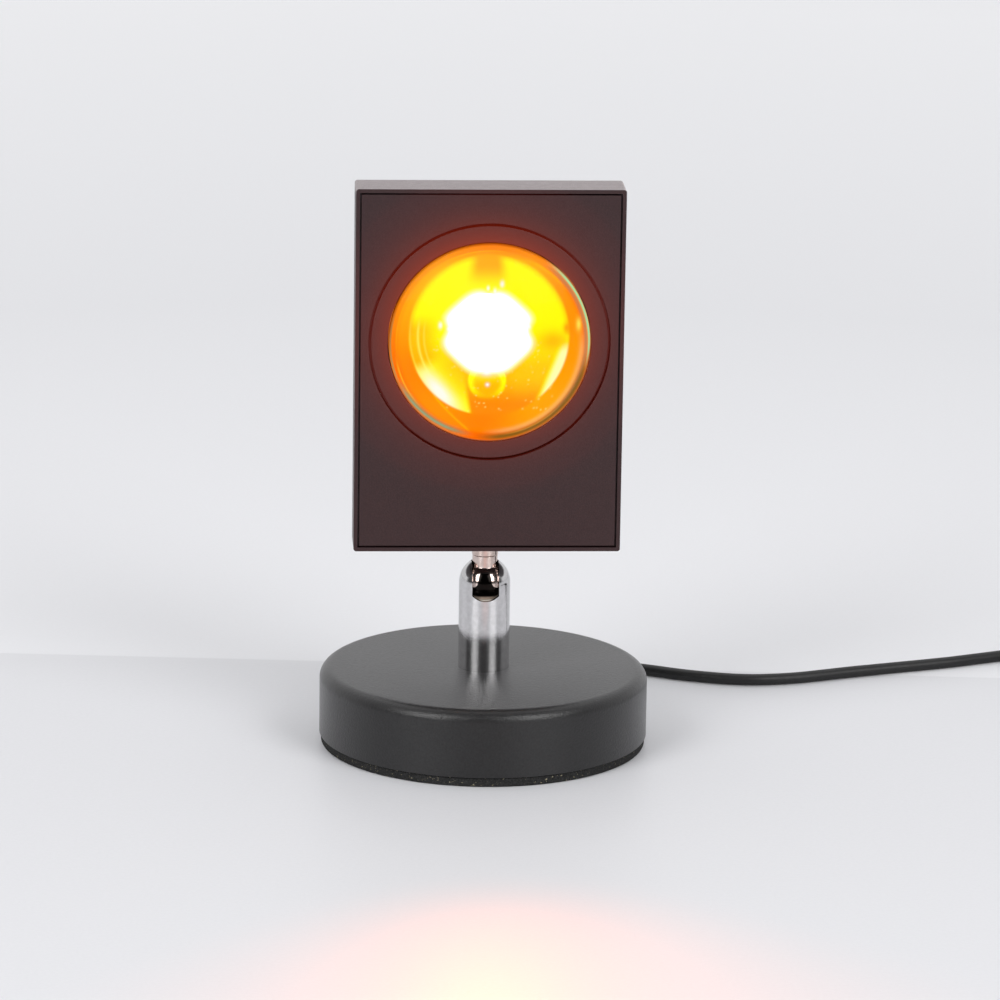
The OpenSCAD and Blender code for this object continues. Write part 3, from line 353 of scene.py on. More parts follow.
# Sky: one even strength lights the scene, another is seen straight, in reflections and through glass;
# in reflections it darkens towards the room
def addSky(s):
    world = bpy.data.worlds.new("studioSky")
    scene.world = world
    world.use_nodes = True
    tree = world.node_tree
    tree.nodes.clear()
    ray = addNode(tree, "ShaderNodeLightPath").outputs
    seen = plainMath(tree, "MAXIMUM", ray["Is Camera Ray"], ray["Is Glossy Ray"])
    seen = plainMath(tree, "MAXIMUM", seen, ray["Is Transmission Ray"])
    lit = addNode(tree, "ShaderNodeBackground", {"Color": s["tint"], "Strength": s["light"]})
    look = addNode(tree, "ShaderNodeTexCoord").outputs["Generated"]
    toward = spread(tree, vectorMath(tree, "DOT_PRODUCT", look, s["roomToward"]), *s["roomEdge"], 0, 1)
    room = plainMath(tree, "MULTIPLY", toward, ray["Is Glossy Ray"])
    strength = spread(tree, room, 0, 1, s["seen"], s["roomDark"])
    shown = addNode(tree, "ShaderNodeBackground", {"Color": s["seenTint"], "Strength": strength})
    both = addNode(tree, "ShaderNodeMixShader", {0: seen, 1: lit.outputs[0], 2: shown.outputs[0]})
    addNode(tree, "ShaderNodeOutputWorld", {"Surface": both.outputs[0]})


sideSet = {"turn": 41, "away": 2.2, "height": 1.36, "size": (1.22, 1.63), "power": 34.5, "aimHeight": 0.08}
topSet = {"place": (0, 0.55, 1.7), "size": (2.2, 1.4), "power": 6.0}


# Soft box: a rectangular light at a place, tipped from straight down and turned
def addSoftBox(name, s, place, tilt, turn=0):
    data = bpy.data.lights.new(name, "AREA")
    data.shape = "RECTANGLE"
    data.size, data.size_y = s["size"]
    data.energy = s["power"]
    light = linkNew(name, data)
    light.location = place
    light.rotation_euler = (tilt, 0, turn)


# Box on one side: turned from the camera's heading, and tipped to aim at a height on the lamp
def addSideBox(name, turn, s):
    angle = math.radians(turn + cameraSet["turn"])
    place = (s["away"] * math.sin(angle), -s["away"] * math.cos(angle), s["height"])
    addSoftBox(name, s, place, math.atan2(s["away"], s["height"] - s["aimHeight"]), angle)


beamSet = {"power": 2.2, "tint": (1.0, 0.185, 0.0), "wide": 100, "slim": 0.65, "size": 0.004,
           "place": (0, -0.022, 0.1202)}


# The lamp's own beam: a warm spot a little in front of the dome, narrower sideways, that rides with the head
def addBeam(s):
    data = bpy.data.lights.new("sunsetBeam", "SPOT")
    data.energy = s["power"]
    data.color = s["tint"]
    data.spot_size = math.radians(s["wide"])
    data.spot_blend = 1.0
    data.shadow_soft_size = s["size"]
    beam = linkNew("sunsetBeam", data)
    beam.parent = frame["bodies"]["head"]
    ahead = turnBy(-90, "X") @ Matrix.Diagonal((s["slim"], 1, 1, 1))
    beam.matrix_world = Matrix.Translation(s["place"]) @ ahead


addFloor(floorSet)
addSky(skySet)
addSoftBox("softBoxTop", topSet, topSet["place"], -math.atan2(*topSet["place"][1:]))
addBeam(beamSet)
addSideBox("softBoxLeft", -sideSet["turn"], sideSet)
addSideBox("softBoxRight", sideSet["turn"], sideSet)
print("stage set")


# Plain finishes: what they share, then each one's tones, grain, gloss, bump (grain, strength), metal, stretch
plainSet = {"span": (0.32, 0.68), "detail": 4, "glossShare": 0.4, "bumpDetail": 2, "bumpDeep": 0.15}
plainFinishes = [
    ("cord_rubber", [(5, 5, 6), (13, 13, 14)], 1400, (0.4, 0.55), (2600, 0.12)),
    ("weight_iron", [(70, 72, 74), (98, 99, 101)], 900, (0.5, 0.75), (700, 0.6), 0.7),
    ("zinc_steel", [(150, 152, 156), (186, 187, 190)], 1600, (0.22, 0.4), (2400, 0.1), 1.0),
    ("plug_brass", [(186, 150, 70), (214, 182, 104)], 1500, (0.2, 0.38), (2200, 0.1), 1.0),
    ("seat_plastic", [(214, 209, 197), (228, 224, 214)], 900, (0.35, 0.5), (1500, 0.1)),
    ("gasket_rubber", [(18, 18, 18), (34, 33, 33)], 1200, (0.55, 0.75), (1800, 0.2)),
    ("board_green", [(24, 74, 46), (44, 104, 66)], 520, (0.22, 0.36), (1100, 0.15)),
    ("part_plastic", [(24, 24, 25), (42, 42, 43)], 1500, (0.35, 0.5), (2400, 0.15)),
    ("wire_red", [(150, 38, 28), (184, 62, 48)], 900, (0.3, 0.45), (1700, 0.1)),
    ("switch_plastic", [(22, 22, 23), (36, 36, 37)], 1900, (0.4, 0.56), (3000, 0.3)),
    ("button_plastic", [(40, 40, 42), (56, 56, 58)], 1200, (0.2, 0.32), (2200, 0.06)),
    ("shell_steel", [(176, 177, 180), (206, 206, 208)], 1500, (0.16, 0.3), (2600, 0.08), 1.0, (6, 1, 6)),
    ("tongue_plastic", [(222, 222, 219), (238, 238, 236)], 1000, (0.35, 0.5), (1800, 0.08)),
    ("contact_gold", [(205, 164, 74), (232, 196, 112)], 1500, (0.16, 0.28), (2600, 0.06), 1.0),
]


# Plain finish: two tones mixed by a fine grain, a spread of gloss by a coarser one, and a shallow bump
def plainFinish(s, name, tones, scale, gloss, bump, metal=0.0, stretch=None):
    tree, shader = newFinish(name, {"Metallic": metal})
    mottle = grain(tree, scale, s["detail"], stretch=stretch)
    pores = grain(tree, bump[0], s["bumpDetail"], stretch=stretch)
    setInputs(tree, shader, {
        "Base Color": toned(tree, mottle, tones, s["span"]),
        "Roughness": glossed(tree, scale * s["glossShare"], gloss),
        "Normal": bumped(tree, pores, bump[1], s["bumpDeep"])})


for row in plainFinishes:
    plainFinish(plainSet, *row)

# Case plastic: dark brown-black with a fine moulded grain, and the lens's red light painted on what surrounds
# it
caseSet = {"tones": [(38, 20, 21), (49, 29, 30)], "span": (0.34, 0.66), "grain": (2300, 3, 0.65),
           "bump": (0.32, 0.12), "gloss": (0.3, 0.42), "glossGrain": 420,
           "even": {"Specular IOR Level": 0.5, "Specular Tint": (1.0, 0.9, 0.91, 1), "Sheen Roughness": 0.3,
                    "Sheen Tint": (1.0, 0.9, 0.91, 1)},
           "edge": (72, 63, 65), "edgeRound": 0.35, "edgeSpan": (0.99, 0.86), "wear": 0.25,
           "dust": (162, 164), "glow": (0.221, 0.009, 0.0), "paintedGlowTint": (50, 25, 3), "glowAside": -0.8,
           "glowHeight": 122.8, "glowReach": (25.3, 54), "glowFall": 4.2, "glowDeep": (-6, 1),
           "glowTail": [(0.0, 0.0), (0.008, 0.055), (0.05, 0.11), (1.0, 1.0)]}


# Share of the painted light from the lens: falls in proportion to the distance from its middle, raised to a
# power, and fades with depth
def paintedGlowShare(tree, s):
    middle = (-s["glowAside"] * mm, 0, -s["glowHeight"] * mm)
    inputs = {"Vector": ownPlace(tree), "Location": middle, "Scale": (1, 0, 1)}
    away = vectorMath(tree, "LENGTH", addNode(tree, "ShaderNodeMapping", inputs).outputs[0])
    near, far = s["glowReach"]
    fall = spread(tree, away, near * mm, far * mm, 1, 0)
    front, back = s["glowDeep"]
    shown = spread(tree, ownPlace(tree, "Y"), front * mm, back * mm, 1, 0)
    return plainMath(tree, "MULTIPLY", plainMath(tree, "POWER", fall, s["glowFall"]), shown)


# Case: two tones mixed by a fine grain, paler where the rounded normal leaves the flat one, as worn edges are
def caseFinish(name, s, paintedGlow=False, dusty=False):
    tree, shader = newFinish(name, s["even"])
    speck = grain(tree, *s["grain"])
    softened = addNode(tree, "ShaderNodeBevel", {"Radius": s["edgeRound"] * mm}, samples=4).outputs[0]
    flat = addNode(tree, "ShaderNodeNewGeometry").outputs["Normal"]
    edge = spread(tree, vectorMath(tree, "DOT_PRODUCT", softened, flat), *s["edgeSpan"], 0, s["wear"])
    colour = mixed(tree, edge, toned(tree, speck, s["tones"], s["span"]), tone(*s["edge"]))
    if dusty:  # fine dust lies on the top face and gives it a sheen
        low, high = s["dust"]
        dust = spread(tree, ownPlace(tree, "Z"), low * mm, high * mm, 0, 1)
        setInputs(tree, shader, {"Sheen Weight": dust})
    # Painted light: the lens's red light on the case is given off by the case itself and also warms its
    # colour
    if paintedGlow:
        share = paintedGlowShare(tree, s)
        colour = mixed(tree, share, colour, tone(*s["paintedGlowTint"]))
        stops = [(at, (*(part * c for c in s["glow"]), 1)) for at, part in s["glowTail"]]
        setInputs(tree, shader, {"Emission Color": ramp(tree, share, stops), "Emission Strength": 1.0})
    setInputs(tree, shader, {
        "Base Color": colour, "Roughness": glossed(tree, s["glossGrain"], s["gloss"]),
        "Normal": bumped(tree, speck, *s["bump"])})


# The rim's painted light from the lens lies only on its front
rimSet = dict(caseSet, glowDeep=(-8.9, -8.6))  # only the rim's front catches the light
frontSet = dict(caseSet, wear=0.1)
caseFinish("case_plastic", caseSet, dusty=True)
caseFinish("case_rim", rimSet, paintedGlow=True, dusty=True)
caseFinish("case_front", frontSet, paintedGlow=True)

# Lamp cup: black anodised, with the light that strays past the lens painted on as red light the cup gives off
cupSet = dict(frontSet, tones=[(7, 4, 4), (13, 7, 7)], edge=(24, 14, 14), glow=(0.135, 0.009, 0.003),
              paintedGlowTint=(10, 5, 5), glowAside=0, glowHeight=121.8, glowReach=(28.5, 52), glowFall=2.0,
              glowTail=[(0.0, 0.0), (1.0, 1.0)])
caseFinish("cup_anodised_painted_glow", cupSet, paintedGlow=True)

# Base paint: satin powder coat, small orange peel with finer pits over it
paintSet = {"tones": [(12, 11, 12), (27, 26, 27)], "peel": (1300, 2), "peelBump": (0.08, 0.25),
            "pits": (1700, 2, 0.7), "pitBump": (0.8, 0.12), "gloss": (0.4, 0.47), "glossGrain": 900,
            "even": {"Specular IOR Level": 0.25, "Sheen Weight": 0.08, "Sheen Roughness": 0.3,
                     "Coat Weight": 0.6, "Coat Roughness": 0.3}}


# Paint: tones by the pits, and the pits' bump laid over the peel's, on paint and clear coat alike
def paintFinish(s):
    tree, shader = newFinish("base_paint", s["even"])
    pits = grain(tree, *s["pits"])
    coarse = bumped(tree, grain(tree, *s["peel"]), *s["peelBump"])
    fine = bumped(tree, pits, *s["pitBump"], over=coarse)
    setInputs(tree, shader, {
        "Base Color": toned(tree, pits, s["tones"]), "Normal": fine, "Coat Normal": fine,
        "Roughness": glossed(tree, s["glossGrain"], s["gloss"])})


paintFinish(paintSet)

# Foam: nearly black, open cells, pale dust caught here and there
foamSet = {"tones": [(22, 22, 22), (46, 46, 46)], "span": (0.1, 0.8), "cells": 2200, "bump": (0.6, 0.2),
           "even": {"Roughness": 0.9, "Specular IOR Level": 0.2}, "dust": (190, 180, 150),
           "dustGrain": (1300, 5, 0.75), "dustSpan": (0.625, 0.655), "dustMost": 0.9}


# Foam: tones and bump by the distance from each cell's middle, dust where a noise is at its highest
def foamFinish(s):
    tree, shader = newFinish("pad_foam", s["even"])
    inputs = {"Vector": ownPlace(tree), "Scale": s["cells"]}
    cells = addNode(tree, "ShaderNodeTexVoronoi", inputs).outputs["Distance"]
    dust = spread(tree, grain(tree, *s["dustGrain"]), *s["dustSpan"], 0, s["dustMost"])
    colour = mixed(tree, dust, toned(tree, cells, s["tones"], s["span"]), tone(*s["dust"]))
    setInputs(tree, shader, {"Base Color": colour, "Normal": bumped(tree, cells, *s["bump"])})


foamFinish(foamSet)

# Bright turned metal: rings left by turning run round the piece, so they blur a reflection up and down
turnedSet = {"span": (0.35, 0.65), "grain": (700, 4), "glossGrain": 1100, "glossDetail": 4,
             "lineGrain": (400, 3, 0.7), "lineStretch": (1, 1, 60), "lineDeep": 0.02}
chromeSet = {
    "barrel_chrome": {"tones": [(202, 201, 202), (214, 213, 214)], "gloss": (0.06, 0.1), "lines": 0.2},
    "neck_nickel": {"tones": [(206, 187, 178), (219, 203, 197)], "gloss": (0.08, 0.16), "lines": 0.25,
                    # The ball's painted shade: dark inside an arched window, for the slot's shade and the
                    # dark room's reflection
                    "band": [(43.9, 0.75), (44.5, 0.02), (51.1, 0.015), (51.6, 1.0)],
                    "archAt": -0.2, "archHalf": 1.685, "archFrom": (47.0, 48.5), "archPower": 6.0},
}


# Painted shade by height, raised by a power of the distance aside, so that the painted dark band ends in an
# arch; it stands in for the slot's shade and the dark room's reflection in the ball
def paintedArchShade(tree, s):
    half, middle = s["archHalf"] * mm, s["archAt"] * mm
    low, high = s["archFrom"]
    height = ownPlace(tree, "Z")
    aside = plainMath(tree, "MULTIPLY_ADD", ownPlace(tree, "X"), 1 / half, -middle / half)
    aside = plainMath(tree, "POWER", aside, s["archPower"])
    aside = plainMath(tree, "MULTIPLY", aside, spread(tree, height, low * mm, high * mm, 0, 1))
    raised = plainMath(tree, "MULTIPLY_ADD", aside, mm, height)
    first, last = s["band"][0][0], s["band"][-1][0]
    stops = [((at - first) / (last - first), (level, level, level, 1)) for at, level in s["band"]]
    return ramp(tree, spread(tree, raised, first * mm, last * mm, 0, 1), stops)


# Turned metal: two close tones, a spread of gloss, and a noise drawn out into rings as its bump
def turnedFinish(name, s):
    tree, shader = newFinish(name, {"Metallic": 1.0})
    colour = toned(tree, grain(tree, *s["grain"]), s["tones"], s["span"])
    # Painted shade and reflection on the ball
    if "band" in s:  # the ball is darkened inside an arched window, bright round it
        colour = vectorMath(tree, "MULTIPLY", colour, paintedArchShade(tree, s))
    rings = grain(tree, *s["lineGrain"], stretch=s["lineStretch"])
    setInputs(tree, shader, {
        "Base Color": colour, "Normal": bumped(tree, rings, s["lines"], s["lineDeep"]),
        "Roughness": glossed(tree, s["glossGrain"], s["gloss"], s["glossDetail"])})


for name, row in chromeSet.items():
    turnedFinish(name, dict(turnedSet, **row))

# Tie: woven tape, two crossing sets of threads
tieSet = {"tones": [(20, 20, 21), (48, 48, 50)], "span": (0.1, 0.9), "threads": 2400, "perWave": 6.3,
          "waver": 0.6, "bump": (0.5, 0.15),
          "even": {"Roughness": 0.85, "Specular IOR Level": 0.25, "Sheen Weight": 0.3}}


# Weave: the product of two sets of waves, aslant and upright
def wovenFinish(s):
    tree, shader = newFinish("tie_fabric", s["even"])
    inputs = {"Vector": ownPlace(tree), "Scale": s["threads"] / s["perWave"], "Distortion": s["waver"]}
    threads = [addNode(tree, "ShaderNodeTexWave", inputs, bands_direction=way).outputs["Fac"]
               for way in ("DIAGONAL", "Z")]
    weave = plainMath(tree, "MULTIPLY", *threads)
    setInputs(tree, shader, {
        "Base Color": toned(tree, weave, s["tones"], s["span"]),
        "Normal": bumped(tree, weave, *s["bump"])})


wovenFinish(tieSet)
print("finishes mixed:", len(finishes))


# Lens: a thick dome on a flat back with a flange, and the lit bowl behind it
lensSet = {"height": 120.2, "panelY": -8.8, "radius": 28.7, "sag": 8.0, "flangeRadius": 31.2,
           "flangeFront": 2.45, "flangeBack": 4.45, "backRings": (20, 10, 0), "domeRings": 90, "around": 288}


# Turned piece on the lens's axis: each profile point is a radius and a depth behind the panel's face,
# swung round the axis
def onLensAxis(name, profile, around, s, closeProfile=True):
    swing = np.linspace(0, 2 * np.pi, around, endpoint=False)[:, None]
    radius, depth = np.asarray(profile, float).T[:, None]
    x, z = radius * np.cos(swing), s["height"] + radius * np.sin(swing)
    grid = np.stack([x, s["panelY"] + depth + 0 * swing, z], -1)
    return addSurface(name, grid * mm, closeRows=True, closeColumns=closeProfile, crease=35)


# Points in mm across, behind the panel's face, and up from the lens's middle
def fromLens(points, s):
    return points[:, 0] / mm, points[:, 1] / mm - s["panelY"], points[:, 2] / mm - s["height"]


# Lens section: an arc of the dome's sphere from the middle to the rim, the rim's straight side,
# the flange, and the flat back to the middle
def lensProfile(s):
    ball = (s["radius"] ** 2 + s["sag"] ** 2) / (2 * s["sag"])
    r = s["radius"] * np.sin(np.linspace(0, np.pi / 2, s["domeRings"]))
    dome = np.stack([r, ball - s["sag"] - np.sqrt(ball ** 2 - r ** 2)], 1)
    flange = [[s["radius"], s["flangeFront"]], [s["flangeRadius"], s["flangeFront"]]]
    back = [[reach, s["flangeBack"]] for reach in (s["flangeRadius"], *s["backRings"])]
    return np.vstack([dome, flange, back])


lensGlass = onLensAxis("lensGlass", lensProfile(lensSet), lensSet["around"], lensSet, False)
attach(lensGlass, "head")
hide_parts("lens")

# Lit bowl: flat ring behind the lens, and a thin cone from it down to the light source
bowlSet = {"ringRadius": 30.8, "ringSteps": (29.5, 28.5, 27.7), "rim": 27.0, "mouth": 8.8, "front": 5.6,
           "back": 16.15, "wall": 0.8, "foot": 0.7, "lip": 0.3, "skin": 0.3, "around": 480, "across": 150,
           "tones": [(60, 28, 3), (86, 44, 6)], "grain": 900, "gloss": (0.3, 0.5), "glossGrain": 1300}


# Bowl section: the ring's face inwards, the cone with its depth in proportion, then the outside back
def bowlProfile(s):
    inner = np.linspace(s["mouth"], s["rim"], s["across"])[::-1]
    depth = s["front"] + (s["rim"] - inner) / (s["rim"] - s["mouth"]) * (s["back"] - s["front"])
    ring = [[reach, s["front"]] for reach in (s["ringRadius"], *s["ringSteps"])]
    rear = [[s["mouth"] + s["foot"], s["back"]], [s["rim"] + s["lip"], s["front"] + s["wall"]],
            [s["ringRadius"], s["front"] + s["wall"]]]
    return np.vstack([ring, np.stack([inner, depth], 1), rear])


# Points on the bowl's outside: deeper than its inside face at the same radius
def bowlOutside(points, s, lens):
    x, depth, z = fromLens(points, lens)
    face = np.interp(np.hypot(x, z), [s["mouth"], s["rim"]], [s["back"], s["front"]])
    return depth > face + s["skin"]


# Soft step: 0 up to low, 1 from high, and three squares less two cubes of the share between
def smooth(value, low, high):
    t = np.clip((value - low) / (high - low), 0, 1)
    return t * t * (3 - 2 * t)


# Soft window: rises from a to b and falls from c to d
def window(value, a, b, c, d):
    return smooth(value, a, b) * smooth(value, d, c)


# Bell: the exponential of minus the square of the distance from the middle in widths
def bell(value, middle, width):
    return np.exp(-((value - middle) / width) ** 2)


# a, moved towards b by a share
def blend(a, b, t):
    return a + (b - a) * t


# Lit picture as seen through the lens, u across and w up from its middle in mm. Red is full everywhere,
# so green runs from red through orange to yellow, and blue turns that white
litSet = {"fieldAt": (-0.3, 2.25), "fieldSize": (22.8, 23.2), "green": 0.97, "blue": 0.002,
          "patchAt": -0.7, "patchHalf": 4.0, "patchWiden": 0.14, "patchTop": 24.3,
          "leftSlant": 0.19, "leftFoot": -20.4, "paleAt": (-14.1, -14.3), "paleSlant": 0.85,
          "rightAt": (12.6, -18.1), "rightSlant": 0.407, "rightUnit": 1.08, "imageAt": (-0.6, -11.2),
          "sweepAt": (-16.1, -14.9), "sweepSlope": 1.02, "sweepBend": 0.02, "sweepEnd": -5.7,
          "ring": (0.985, 1.02), "ringGreen": 0.29, "dim": 0.35, "dimFrom": (25.4, 27.2),
          "ringTints": [(135, 40, 0.18), (60, 18, 0.12), (310, 35, 0.08), (205, 20, -0.06), (268, 20, -0.08)],
          "glints": [(-0.5, -12.2, 0.75, 0.75, 0.95), (-0.7, -8.9, 2.6, 1.3, 0.8)],
          "heartAt": (-0.4, 2.95), "heartSize": (13.1, 12.1), "corner": 1.37, "power": 14,
          "dent": (0.6, 0.95), "sideDent": (3.6, 2.4, 0.12), "topDent": (-0.2, 1.6, 0.06), "topFrom": 3,
          "glow": (0.93, 0.2), "pale": (1.12, 0.86), "paleBlue": 0.85, "white": (1.03, 0.8),
          "whiteAdd": (1.2, 1.15, 2.0), "leastGreen": 0.02, "mostBlue": 0.9, "sparkTall": 1.7,
          "sparks": [(3.4, 17.1, 0.55), (-0.6, 15.8, 0.4), (-14.1, 4.9, 0.55), (-11.8, 3.8, 0.6),
                     (11.2, 4.6, 0.6), (1.4, 14.9, 0.5)]}

# Parts of it, laid on in turn: a mask on named measures, then the green it moves to, or what it adds
leftFan = [(smooth, "turn", 200, 212), (smooth, "leftCut", -4.4, -6.0), (smooth, "field", 0.5, 0.95)]
rightFan = [(smooth, "rightCut", -0.7, 1.6), (window, "w", -20.5, -14.5, -3.2, 0.6)]
image = [(smooth, "image", 5.7, 5.1), (smooth, "w", -17, -13)]
arcTurn = (window, "turn", 164, 178, 204, 222)
fieldParts = [
    dict(mask=[(smooth, "w", 3, -9)], add=-0.44),  # orange below
    dict(mask=[(smooth, "w", -9, -18)], add=-0.27),
    dict(mask=[(smooth, "u", -13, -20), (window, "w", -16, -8, 3, 9)], green=0.42, share=0.75),  # and aside
    dict(mask=[(bell, "u", 18.0, 4.5), (bell, "w", 0.5, 3.0)], green=0.42, share=0.8),
    dict(mask=[(smooth, "field", 0.93, 1.0), (smooth, "turn", 200, 160), (smooth, "w", -10, 10)], add=-0.3),
    dict(mask=[(smooth, "patch", 1.5, 0.55), (smooth, "w", 15.0, 23.0)], green=0.38, share=0.95),  # top patch
    dict(mask=[(bell, "field", 0.885, 0.016), arcTurn], green=1.0, share=0.55, blue=0.066),  # left arcs
    dict(mask=[(bell, "field", 0.81, 0.012), arcTurn], green=1.0, share=0.3, blue=0.036),
    dict(mask=[(bell, "field", 0.985, 0.012), arcTurn], green=1.0, share=0.25, blue=0.03),
    dict(mask=leftFan, green=1.0, share=0.92),  # crescents low on either side
    dict(mask=[*leftFan, (bell, "paleAcross", 0, 3.0), (bell, "paleUp", 0, 8.5)], blue=0.95),
    dict(mask=rightFan, green=1.0),
    dict(mask=[*rightFan, (smooth, "rightCut", -0.2, 2.0)], blue=0.42),
    dict(mask=image, green=0.5),  # small image of the source
    dict(mask=[*image, (bell, "image", 4.7, 0.9)], add=0.4),
    dict(mask=[*image, (smooth, "w", -13, -9)], add=0.3),
]
ringParts = [
    dict(mask=[(bell, "out", 26.6, 0.16), (window, "turn", 70, 90, 180, 205)], add=0.13),  # thin lines
    dict(mask=[(bell, "out", 26.3, 0.22), (window, "turn", 28, 40, 52, 66)], add=0.2),
    dict(mask=[(bell, "sweep", 0, 0.35), (window, "u", -16.5, -15, -6.5, -5)], add=0.2),
    dict(mask=[(bell, "u", 21.9, 1.0), (bell, "w", 4.3, 1.5)], green=0.25, share=0.85),  # notch
    dict(mask=[(bell, "u", 25.3, 0.7), (bell, "w", 5.3, 1.7)], green=0.8, share=0.9, blue=0.08),  # gleam
]


# Measures that the masks are made on: distance and angle in the field's oval, distance from the middle
# and from the source's image, and distances from the slanting and bent lines
def litMeasures(u, w, s):
    (x, y), (wide, tall) = s["fieldAt"], s["fieldSize"]
    across, up = u - s["paleAt"][0], w - s["paleAt"][1]
    right = u - s["rightAt"][0] - s["rightSlant"] * (w - s["rightAt"][1])
    bent = u - s["sweepAt"][0]
    sweep = w - s["sweepAt"][1] + s["sweepSlope"] * bent - s["sweepBend"] * bent * (u - s["sweepEnd"])
    return {"u": u, "w": w, "out": np.hypot(u, w), "sweep": sweep, "rightCut": right / s["rightUnit"],
            "field": np.hypot((u - x) / wide, (w - y) / tall),
            "turn": np.degrees(np.arctan2(w - y, u - x)) % 360,
            "patch": np.abs(u - s["patchAt"]) / (s["patchHalf"] + s["patchWiden"] * (s["patchTop"] - w)),
            "leftCut": u + s["leftSlant"] * (w - s["leftFoot"]),
            "paleAcross": across + s["paleSlant"] * up, "paleUp": up - s["paleSlant"] * across,
            "image": np.hypot(u - s["imageAt"][0], w - s["imageAt"][1])}


# Parts laid on in turn: each mask is the product of its factors, green moves towards the part's own
# by its share of the mask, and what the part adds goes on in proportion to the mask
def layParts(parts, measures, green, blue):
    for part in parts:
        mask = np.prod([kind(measures[name], *ends) for kind, name, *ends in part["mask"]], 0)
        if "green" in part:
            green = blend(green, part["green"], part.get("share", 1.0) * mask)
        green = green + part.get("add", 0) * mask
        blue = blue + part.get("blue", 0) * mask
    return green, blue


# Heart: an eight-sided distance, the root of the high powers of both offsets and of their sum,
# dented at its sides and top
def heartAway(u, w, s):
    (x, y), (wide, tall), power = s["heartAt"], s["heartSize"], s["power"]
    across, up = np.abs(u - x) / wide, np.abs(w - y) / tall
    heart = (across ** power + up ** power + ((across + up) / s["corner"]) ** power) ** (1 / power)
    *side, sideAdd = s["sideDent"]
    *top, topAdd = s["topDent"]
    heart += sideAdd * bell(w, *side) * smooth(across, *s["dent"])
    return heart + topAdd * bell(u, *top) * smooth(up, *s["dent"]) * (w > s["topFrom"])


# Colour of the lit bowl: the field's parts, an orange ring outside it tinted by the angle, glints in the
# small image, then the heart, white inside with a glow and sparks round it
def litColour(u, w, s):
    m = litMeasures(u, w, s)
    green, blue = layParts(fieldParts, m, np.full_like(u, s["green"]), np.full_like(u, s["blue"]))
    ring = smooth(m["field"], *s["ring"])
    tint = s["ringGreen"] + sum(add * bell(m["turn"], at, width) for at, width, add in s["ringTints"])
    green = blend(green, tint * (1 - s["dim"] * smooth(m["out"], *s["dimFrom"])), ring)
    green, blue = layParts(ringParts, m, green, blue * (1 - ring))
    for x, y, wide, tall, add in s["glints"]:
        glint = bell(u, x, wide) * bell(w, y, tall)
        green, blue = np.maximum(green, glint), blue + add * glint ** 2
    heart = heartAway(u, w, s)
    start, width = s["glow"]
    green = np.maximum(green, bell(np.maximum(heart, start), start, width))
    blue = np.maximum(blue, s["paleBlue"] * smooth(heart, *s["pale"]))
    for x, y, size in s["sparks"]:
        spark = bell(u, x, size) * bell(w, y, size * s["sparkTall"])
        green, blue = np.maximum(green, spark), np.maximum(blue, s["paleBlue"] * spark)
    white = smooth(heart, *s["white"])
    green = np.maximum(green, s["leastGreen"])
    blue = np.minimum(blue, s["mostBlue"] * green) * (1 - white)
    plain = np.stack([np.ones_like(u), green, blue], 1) + white[:, None] * s["whiteAdd"]
    return np.c_[plain, np.ones_like(u)]


dustSet = {"seed": 7, "count": 110, "across": (-16, 18), "up": (-20, 2), "size": (0.14, 0.28), "near": 1.5,
           "light": (0.95, 0.14)}


# Specks of dust: seeded places in the lower half, each a tiny bright spot
def dustOver(u, w, colour, s):
    draw = np.random.default_rng(s["seed"])
    place = np.stack([draw.uniform(*s["across"], s["count"]), draw.uniform(*s["up"], s["count"])], 1)
    size = draw.uniform(*s["size"], s["count"])
    for at, width in zip(place, size):
        near = np.abs(u - at[0]) + np.abs(w - at[1]) < s["near"]
        speck = bell(u[near], at[0], width) * bell(w[near], at[1], width)
        colour[near, 1:3] = np.maximum(colour[near, 1:3], speck[:, None] * s["light"])
    return colour


# Each way: scale, what a mm of depth adds to it, shift, and what a mm of depth adds to that
seenSet = {"across": (0.9649, 0.01422, 0.202, -0.0686), "up": (0.9586, 0.01547, -0.796, 0.2736)}


# Where a bowl point seems to lie through the lens: its place swelled with depth and lifted with depth
def seenPlace(points, s, lens):
    x, depth, z = fromLens(points, lens)
    return [place * (scale + swell * depth) + shift + lift * depth
            for place, (scale, swell, shift, lift) in ((x, s["across"]), (z, s["up"]))]


# One colour for each point of a mesh, under a name that a finish reads
def addColour(obj, name, colour):
    layer = obj.data.attributes.new(name, "FLOAT_COLOR", "POINT")
    layer.data.foreach_set("color", np.ascontiguousarray(colour, np.float32).ravel())


glowBowl = onLensAxis("glowBowl", bowlProfile(bowlSet), bowlSet["around"], lensSet)
bowlPoints = meshPoints(glowBowl)
seenU, seenW = seenPlace(bowlPoints, seenSet, lensSet)
bowlColour = dustOver(seenU, seenW, litColour(seenU, seenW, litSet), dustSet)
bowlColour[bowlOutside(bowlPoints, bowlSet, lensSet)] = (0, 0, 0, 1)
addColour(glowBowl, "litColour", bowlColour)
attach(glowBowl, "head")
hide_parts("reflector")


# A mesh's own colours, by their name
def ownColour(tree, name):
    return addNode(tree, "ShaderNodeAttribute", attribute_name=name).outputs["Color"]


# Lit finish: the bowl's own colours given off as light, over a bright spun metal
def litFinish(s):
    tree, shader = newFinish("reflector_silver", {"Metallic": 1.0, "Emission Strength": 1.0})
    setInputs(tree, shader, {
        "Base Color": toned(tree, grain(tree, s["grain"]), s["tones"]),
        "Roughness": glossed(tree, s["glossGrain"], s["gloss"]),
        "Emission Color": ownColour(tree, "litColour")})


sourceSet = {"tint": (1.0, 0.96, 0.85, 1), "grain": 2000, "gloss": (0.3, 0.45), "glossGrain": 1500,
             "soft": 0.1}
sourceFinishes = {"led_phosphor": {"tones": [(236, 206, 84), (248, 224, 120)], "light": 4.0, "litTo": 9.5},
                  # The board gives off painted light: the LED's light that falls on its face
                  "board_lit": {"tones": [(226, 226, 221), (240, 240, 236)], "light": 1.6, "litTo": 8.7}}
